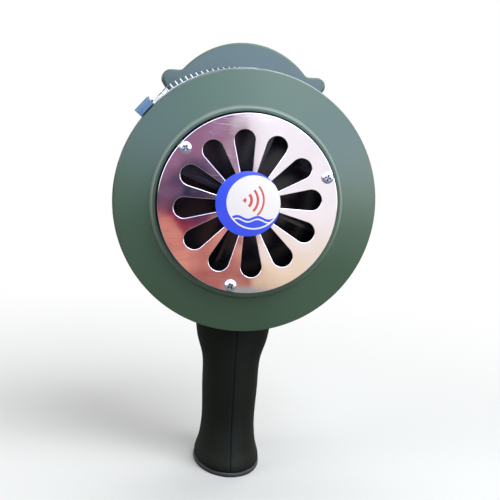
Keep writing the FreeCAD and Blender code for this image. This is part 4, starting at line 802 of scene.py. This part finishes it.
tail_sizes = {
    "Pitches": 20, "Slotted share": 0.95, "Plain share": 0.05, "Radius": BAND_RADIUS - BAND_THICKNESS / 2,
    "Climb": 4.57 * MM, "Dip": 11.0 * MM, "Dip end": 1.115, "Front share": 0.05,
    "Sweep": math.radians(47), "Start": math.radians(88), "Height": AXIS_HEIGHT,
    "Width": band_high.y - band_low.y, "Front": band_low.y,
}
tail_seed = linked("band_tail", bpy.data.meshes.new("band_tail"))
run_tree(tail_seed, tail_tree(tail_sizes, make_strip_finish()), tail_sizes)
strip_wall = tail_seed.modifiers.new("strip_wall", "SOLIDIFY")
strip_wall.thickness = BAND_THICKNESS
strip_wall.offset = 1.0
round_edges(tail_seed, 0.12 * MM, 1, 40)
band_tail = settled("band_tail_strip", tail_seed)
shaded(band_tail.data)
band_shape = bmesh.new()
turn_outline(band_shape, [(78.05, -31.5, 0.1), (78.55, -31.5, 0.2), (78.55, -19.5, 0.2), (78.05, -19.5, 0.1)],
             steps=320)
stand_in(new_piece("band_strip", band_shape, STAINLESS), "clamp_band")
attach(band_tail, BODY_OF["clamp_band"])

# ---------------- clamp housing
# A small pressed box over the band holds the worm screw, which draws the slotted tail through it.
# The box is stainless steel whose dark, cool colour is a painted reflection of the sky, and the screw is
# plain machined steel.

# Painted reflection: a dark blue-grey base colour stands in for the sky mirrored in the steel.
STAINLESS_PAINTED_SKY = bare_metal("cool_stainless", srgb(82, 108, 112), 0.3, 0.004 * MM)
dressed("clamp_housing", STAINLESS_PAINTED_SKY, 0.5 * MM)
dressed("clamp_screw", STEEL, 0.15 * MM)

# ---------------- gear case
# Two cast halves with a rubber gasket between them, closed by four screws through their ears.
# Their enamel is painted a shade paler and cooler than the drum's, a painted sheen of the sky on the same
# paint. Bolts inside hold the front half to the drum.

RUBBER = painted("black_rubber", srgb(30, 31, 31), 0.62, 0.08 * MM, 0.2, 0.35)
# Painted sheen: the drum's green paint, lifted and cooled to stand for the sky's reflection on the case.
CASE_ENAMEL_PAINTED_SHEEN = painted("case_enamel", srgb(68, 94, 77), 0.3, 0.05 * MM, 0.15)
dressed("gear_case", CASE_ENAMEL_PAINTED_SHEEN, 0.3 * MM)
dressed("gear_cover", CASE_ENAMEL_PAINTED_SHEEN, 0.3 * MM)
give_finish(RUBBER, "gear_gasket")
give_finish(ZINC, "case_bolts")

CASE_EARS = ((46, 53, 61.5), (46, 53, -61.5), (0, 46.5, 125), (0, 46.5, -125))
EAR_SEAT_DEPTH = 46 * MM
screw_set("case_screws", 3.6, 2.2, 12, [
    (round_axis(reach * MM, 90 - angle, EAR_SEAT_DEPTH, AXIS_HEIGHT + rise * MM), angle * 1.3)
    for rise, reach, angle in CASE_EARS], math.pi)

# ---------------- gear train
# Hobbed steel gears, oiled, on a ground pin and on the crank's shaft, which runs in bronze bushes.
# A ratchet and two pawls drive the crank gear. None of it shows, so the plain solids stay.

OILED_STEEL = bare_metal("oiled_steel", srgb(150, 148, 142), 0.22)
BRONZE = bare_metal("sintered_bronze", srgb(190, 146, 88), 0.34)
give_finish(OILED_STEEL, "crank_gear", "idler_gear", "idler_pinion", "idler_pin", "idler_clip",
            "ratchet_wheel", "ratchet_pawls", "pawl_pins", "pawl_springs", "crank_clip")
give_finish(BRONZE, "front_bush", "rear_bush")

# ---------------- crank
# A forged steel arm, enamelled black, carries the knob at its outer end.
# It is clamped on the shaft's shoulder by a washer and a nut.

ARM_ENAMEL = painted("black_enamel", srgb(46, 50, 47), 0.3, 0.04 * MM, 0.5, 0.3)
dressed("crank_arm", ARM_ENAMEL, 0.4 * MM)
dressed("crank_nut", ZINC, 0.35 * MM)
dressed("crank_washer", ZINC, 0.15 * MM)
dressed("crank_shaft", STEEL, 0.4 * MM)

# ---------------- knob
# A turned handle of hard black plastic spins freely on a steel pin, which is riveted into the arm.
# The pin's head is sunk in the handle's end, and a washer keeps the handle off the arm.

knob_low, knob_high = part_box("knob")
KNOB_HEIGHT = (knob_low.z + knob_high.z) / 2
KNOB_PLASTIC = painted("knob_plastic", srgb(33, 35, 34), 0.32, 0.02 * MM, 0.25, 0.3)
knob_shape = bmesh.new()
turn_outline(knob_shape, [
    (3.15, 56.2, 0), (8.6, 56.2, 1.3), (10.8, 65.2, 16), (12.4, 75.2, 30), (11.5, 84.5, 14), (8.6, 91.5, 1.4),
    (5.8, 91.5, 0.4), (5.8, 87.5, 0.3), (3.15, 87.5, 0),
], 0, KNOB_HEIGHT, 128)
stand_in(new_piece("turned_knob", knob_shape, KNOB_PLASTIC), "knob")
dressed("knob_pin", ZINC, 0.3 * MM)
dressed("knob_washer", ZINC, 0.1 * MM)

# ---------------- grip
# Two hollow halves of near-black plastic meet on the centre line and close round a steel bracket.
# Their outside swells under the drum, narrows for the palm and flares into the oval foot.

GRIP_STATIONS = ((2.5, 20.3, 35.4), (6, 20.0, 34.6), (14, 17.8, 29.6), (27, 16.6, 25.6),
                 (48, 17.4, 25.0), (66, 18.2, 24.4), (80, 22.2, 24.3), (98, 24.6, 24.8))
FOOT = 2.5 * MM
SEAM_GAP = 0.1 * MM
SADDLE_GAP = 0.15 * MM
GRIP_PLASTIC = painted("grip_plastic", srgb(11, 16, 8), 0.6, 0.05 * MM, 0.12, 0.05,
                       Specular_IOR_Level=0.1)
DRUM_STEPS = ((-16.85, BAND_RADIUS + SADDLE_GAP), (10.35, 75.1 * MM + SADDLE_GAP), (60, 77 * MM + SADDLE_GAP))


def grip_size(height):
    """Half width and half depth of the grip at a height, along smooth curves through its stations."""
    stations = [[size * MM for size in station] for station in GRIP_STATIONS]
    index = max(0, min(len(stations) - 2, sum(height > station[0] for station in stations) - 1))
    low, high = stations[index], stations[index + 1]
    before, after = stations[max(0, index - 1)], stations[min(len(stations) - 1, index + 2)]
    share = (height - low[0]) / (high[0] - low[0])
    sizes = []
    for axis in (1, 2):
        slopes = [(far[axis] - near[axis]) / (far[0] - near[0]) * (high[0] - low[0])
                  for near, far in ((before, high), (low, after))]
        sizes.append(low[axis] * (1 + 2 * share) * (1 - share) ** 2 + slopes[0] * share * (1 - share) ** 2
                     + high[axis] * share ** 2 * (3 - 2 * share) + slopes[1] * share ** 2 * (share - 1))
    return sizes


def saddle_height(x, y):
    """Height of the grip's top where it meets the drum, the band and the back plate."""
    radius = next(size for limit, size in DRUM_STEPS if y < limit * MM)
    return AXIS_HEIGHT - math.sqrt(radius ** 2 - x ** 2)


def grip_point(side, angle, height):
    """A point on the outside of one half, with the shallow groove along the seam."""
    half_width, half_depth = grip_size(height)
    foot_rounding = 0.7 * MM * max(0.0, 1 - (height - FOOT) / (0.8 * MM)) ** 2
    groove = 0.45 * MM * math.exp(-((math.pi / 2 - abs(angle)) / 0.02) ** 2)
    inset = foot_rounding + groove
    x = side * (SEAM_GAP + (half_width - SEAM_GAP - foot_rounding) * math.cos(angle))
    return x, (half_depth - inset) * math.sin(angle)


def grip_half(name, side):
    """One closed half of the grip: upright columns of points round it, each ending in a row over its top."""
    ends = [90, 89.6, 89.1, 88.4, 87.3, 85.5]
    angles = [math.radians(angle) for angle in
              [-end for end in ends] + [step * 3 for step in range(-27, 28)] + ends[::-1]]
    rows, cap_steps, top_guesses = 64, 8, 12
    first_row = 3.3 * MM
    shape = bmesh.new()
    columns, caps = [], []
    for angle in angles:
        top = 90 * MM
        for _ in range(top_guesses):
            top = saddle_height(*grip_point(side, angle, top))
        heights = [FOOT, 2.7 * MM, 2.95 * MM] + [
            first_row + (top - first_row) * step / rows for step in range(rows + 1)]
        column = [shape.verts.new((*grip_point(side, angle, height), height)) for height in heights]
        columns.append(column)
        edge = column[-1].co
        cap = [column[-1]]
        for step in range(1, cap_steps + 1):
            x = edge.x + (side * SEAM_GAP - edge.x) * step / cap_steps
            cap.append(shape.verts.new((x, edge.y, saddle_height(x, edge.y))))
        caps.append(cap)
    for grids in (columns, caps):
        for near, far in zip(grids, grids[1:]):
            for step in range(len(near) - 1):
                shape.faces.new((near[step], near[step + 1], far[step + 1], far[step]))
    shape.faces.new([column[0] for column in columns])
    shape.faces.new(columns[0] + [cap[-1] for cap in caps[1:-1]] + columns[-1][::-1])
    bmesh.ops.remove_doubles(shape, verts=shape.verts, dist=0.001 * MM)
    bmesh.ops.recalc_face_normals(shape, faces=shape.faces)
    return new_piece(name, shape, GRIP_PLASTIC, 40)


SINK_DEPTH = 20 * MM
GRIP_SCREW_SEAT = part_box("grip_screws")[1].x - 2.0 * MM
GRIP_SCREW_SPOTS = ((0, 20), (0, 42), (-2, 64))
sink_shape = bmesh.new()
for y, height in GRIP_SCREW_SPOTS:
    sink = bmesh.ops.create_cone(sink_shape, cap_ends=True, segments=40, radius1=3.1 * MM, radius2=3.1 * MM,
                                 depth=SINK_DEPTH)["verts"]
    bmesh.ops.rotate(sink_shape, matrix=Matrix.Rotation(math.pi / 2, 3, "Y"), verts=sink)
    bmesh.ops.translate(sink_shape, vec=(GRIP_SCREW_SEAT + SINK_DEPTH / 2, y * MM, height * MM), verts=sink)
sinks = new_piece("grip_sinks", sink_shape, GRIP_PLASTIC)
stand_in(carved("grip_half_right", grip_half("grip_right_blank", 1), [sinks], 40), "grip_right")
stand_in(grip_half("grip_half_left", -1), "grip_left")
give_finish(STEEL, "grip_bracket")
give_finish(ZINC, "bracket_screws")
screw_set("grip_screws", 2.8, 2.0, 24, [
    ((GRIP_SCREW_SEAT, y * MM, height * MM), height * 2.1) for y, height in GRIP_SCREW_SPOTS], math.pi / 2)

# ---------------- foot pad
# A moulded rubber sole under the oval foot, with raised oval ribs that stand on the ground.

PAD_OUTLINE = ((12, 0.9), (10.5, 0.9), (10.2, 0), (8.2, 0), (7.9, 0.9), (6.4, 0.9), (6.1, 0), (4.1, 0),
               (3.8, 0.9), (2.6, 0.9), (2.3, 0), (0.7, 0), (0.25, 0.2), (0, 0.7), (0, 1.9), (0.2, 2.3),
               (0.7, 2.48), (3, 2.48))


def oval_rings(shape, outline, half_width, half_depth, steps=160):
    """A closed oval solid from an outline of (inset, height) in millimetres."""
    angles = [2 * math.pi * step / steps for step in range(steps)]
    rings = [[shape.verts.new(((half_width - inset * MM) * math.cos(angle),
                               (half_depth - inset * MM) * math.sin(angle), height * MM)) for angle in angles]
             for inset, height in outline]
    bridge(shape, rings, rings[1:], steps)
    shape.faces.new(rings[0])
    shape.faces.new(rings[-1])
    bmesh.ops.recalc_face_normals(shape, faces=shape.faces)


pad_shape = bmesh.new()
pad_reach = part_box("foot_pad")[1]
oval_rings(pad_shape, PAD_OUTLINE, pad_reach.x, pad_reach.y)
stand_in(new_piece("rubber_sole", pad_shape, RUBBER), "foot_pad")

# ---------------- floor and light
# A pale studio floor runs out into a white surround, under five soft lamps.
# Screens that only mirrors show give polished metal and glossy enamel something to reflect.


def new_light(name):
    """A material without its surface shader, and its tree."""
    material = bpy.data.materials.new(name)
    material.use_nodes = True
    tree = material.node_tree
    tree.nodes.remove(tree.nodes["Principled BSDF"])
    return material, tree


def glow(tree, colour, strength=1.0):
    """Light of a colour as a surface."""
    return add_node(tree, "ShaderNodeEmission", {"Color": colour, "Strength": strength}).outputs[0]


def make_floor_finish():
    """Matt pale floor near the siren; seen by the camera it fades into the white surround."""
    material, tree = new_light("pale_floor")
    seen = add_node(tree, "ShaderNodeLightPath").outputs["Is Camera Ray"]
    shade = blend_colours(tree, seen, (0.3, 0.3, 0.3, 1), (0.76, 0.77, 0.77, 1))
    matt = add_node(tree, "ShaderNodeBsdfDiffuse", {"Color": shade})
    apart = add_node(tree, "ShaderNodeVectorMath", {0: object_place(tree)}, operation="LENGTH")
    fade = ramp(tree, apart.outputs["Value"], 0.12, 0.6, interpolation_type="SMOOTHSTEP")
    faded = times(tree, seen, fade)
    both = add_node(tree, "ShaderNodeMixShader", {0: faded, 1: matt.outputs[0], 2: glow(tree, (1, 1, 1, 1))})
    feed(tree.nodes["Material Output"], Surface=both.outputs[0])
    return material


floor_shape = bmesh.new()
bmesh.ops.create_grid(floor_shape, x_segments=1, y_segments=1, size=12.0)
new_piece("studio_floor", floor_shape, make_floor_finish())

world = bpy.data.worlds.new("studio")
bpy.context.scene.world = world
world.use_nodes = True
studio = world.node_tree
path = add_node(studio, "ShaderNodeLightPath").outputs
seen_rays = calc(studio, "MAXIMUM", path["Is Camera Ray"],
                 calc(studio, "MAXIMUM", path["Is Glossy Ray"], path["Is Transmission Ray"]))
sky = studio.nodes["Background"]
sky.inputs["Color"].default_value = (1.0, 1.0, 1.0, 1)
feed(sky, Strength=ramp(studio, seen_rays, 0.0, 1.0, 0.14, 1.0))


def soft_lamp(name, place, aim_height, width, height, power, colour=(1, 1, 1)):
    """A large rectangular lamp that looks at a point above the foot."""
    lamp = bpy.data.lights.new(name, "AREA")
    lamp.shape = "RECTANGLE"
    lamp.size, lamp.size_y = width, height
    lamp.energy = power
    lamp.color = colour
    holder = linked(name, lamp)
    holder.location = place
    holder.rotation_euler = (Vector((0, 0, aim_height)) - Vector(place)).to_track_quat("-Z", "Y").to_euler()


soft_lamp("key_lamp", (0.5, -0.75, 1.25), 0.18, 1.1, 0.8, 17, (0.95, 0.98, 1.0))
soft_lamp("fill_lamp", (-1.3, -0.6, 0.7), 0.15, 1.0, 1.0, 8, (1.0, 0.97, 0.94))
soft_lamp("side_lamp", (1.3, -0.9, 0.35), 0.16, 0.9, 0.9, 12, (1.0, 0.98, 0.97))
soft_lamp("top_lamp", (0, 0.6, 1.5), 0.1, 1.2, 1.2, 9)
soft_lamp("back_lamp", (0.7, 1.4, 0.8), 0.15, 1.0, 1.0, 9)


def mirror_screen(half_width, first_edge, last_edge, material):
    """A flat screen between two edges of (depth, height), which only mirror-like surfaces show."""
    shape = bmesh.new()
    corners = ((-half_width, *first_edge), (half_width, *first_edge),
               (half_width, *last_edge), (-half_width, *last_edge))
    shape.faces.new([shape.verts.new(corner) for corner in corners])
    screen = new_piece(material.name, shape, material)
    for rays in ("camera", "diffuse", "transmission", "shadow"):
        setattr(screen, "visible_" + rays, False)


def make_cool_screen():
    """Cool light, strongest low down and towards the right."""
    material, tree = new_light("cool_screen")
    parts = axes(tree, object_place(tree))
    rise = ramp(tree, parts["Z"], 0.25, 0.6, 10.5, 5.2)
    drift = ramp(tree, parts["X"], -0.6, 0.6, 0.72, 1.1)
    feed(tree.nodes["Material Output"], Surface=glow(tree, (0.53, 0.57, 1.0, 1), times(tree, rise, drift)))
    return material


def make_ceiling_screen():
    """Plain bright light from above, which draws a thin line along rounded upper edges."""
    material, tree = new_light("ceiling_screen")
    feed(tree.nodes["Material Output"], Surface=glow(tree, (0.86, 0.95, 1.0, 1), 2.0))
    return material


def make_room_screen():
    """A dim room: violet and rose shades on the left, a pale window on the right."""
    material, tree = new_light("room_screen")
    where = object_place(tree)
    parts = axes(tree, where)
    waver = ramp(tree, noise(tree, where, 22.0), 0.0, 1.0, -0.06, 0.06)
    wavy = calc(tree, "ADD", parts["Z"], waver)
    dim = srgb(204, 124, 106)
    for start, end, shade in ((0.0, 0.025, srgb(168, 96, 92)), (0.03, 0.05, srgb(232, 156, 136)),
                              (0.055, 0.075, srgb(146, 42, 66)), (0.085, 0.11, srgb(40, 46, 76)),
                              (0.125, 0.15, srgb(154, 110, 138))):
        dim = blend_colours(tree, ramp(tree, wavy, start, end), dim, shade)
    window = calc(tree, "MULTIPLY_ADD", parts["Z"], 0.19, parts["X"])
    pale = ramp(tree, window, 0.078, 0.104, interpolation_type="SMOOTHSTEP")
    warm = blend_colours(tree, ramp(tree, parts["Z"], 0.01, 0.1), srgb(242, 214, 176), srgb(255, 250, 254))
    feed(tree.nodes["Material Output"], Surface=glow(tree, blend_colours(tree, pale, dim, warm), 1.1))
    return material


mirror_screen(1.0, (-0.9, 0.25), (-0.9, 0.9), make_cool_screen())
mirror_screen(1.6, (-1.1, 1.6), (0.5, 1.6), make_ceiling_screen())
mirror_screen(0.4, (-0.66, 0.001), (-0.66, 0.25), make_room_screen())

# ---------------- camera
# It stands a little left of and above the intake, nearly level, with the siren tipped a few degrees.

CAMERA_PLACE = Vector((-64.5, -628.8, 224.5)) * MM
CAMERA_AIM = Vector((0, -35, 168)) * MM
CAMERA_ROLL = math.radians(3.3)
FRAME_PIXELS = 500
FOCAL_PIXELS = 1016
camera = bpy.data.cameras.new("camera")
camera.sensor_width = 36
camera.lens = camera.sensor_width * FOCAL_PIXELS / FRAME_PIXELS
camera.shift_x = 4.1 / FRAME_PIXELS
camera.shift_y = -48.2 / FRAME_PIXELS
camera_holder = linked("camera", camera)
looking = (CAMERA_AIM - CAMERA_PLACE).to_track_quat("-Z", "Y").to_matrix().to_4x4()
camera_holder.matrix_world = Matrix.Translation(CAMERA_PLACE) @ looking @ Matrix.Rotation(CAMERA_ROLL, 4, "Z")
bpy.context.scene.camera = camera_holder
bpy.context.scene.view_settings.view_transform = "Standard"
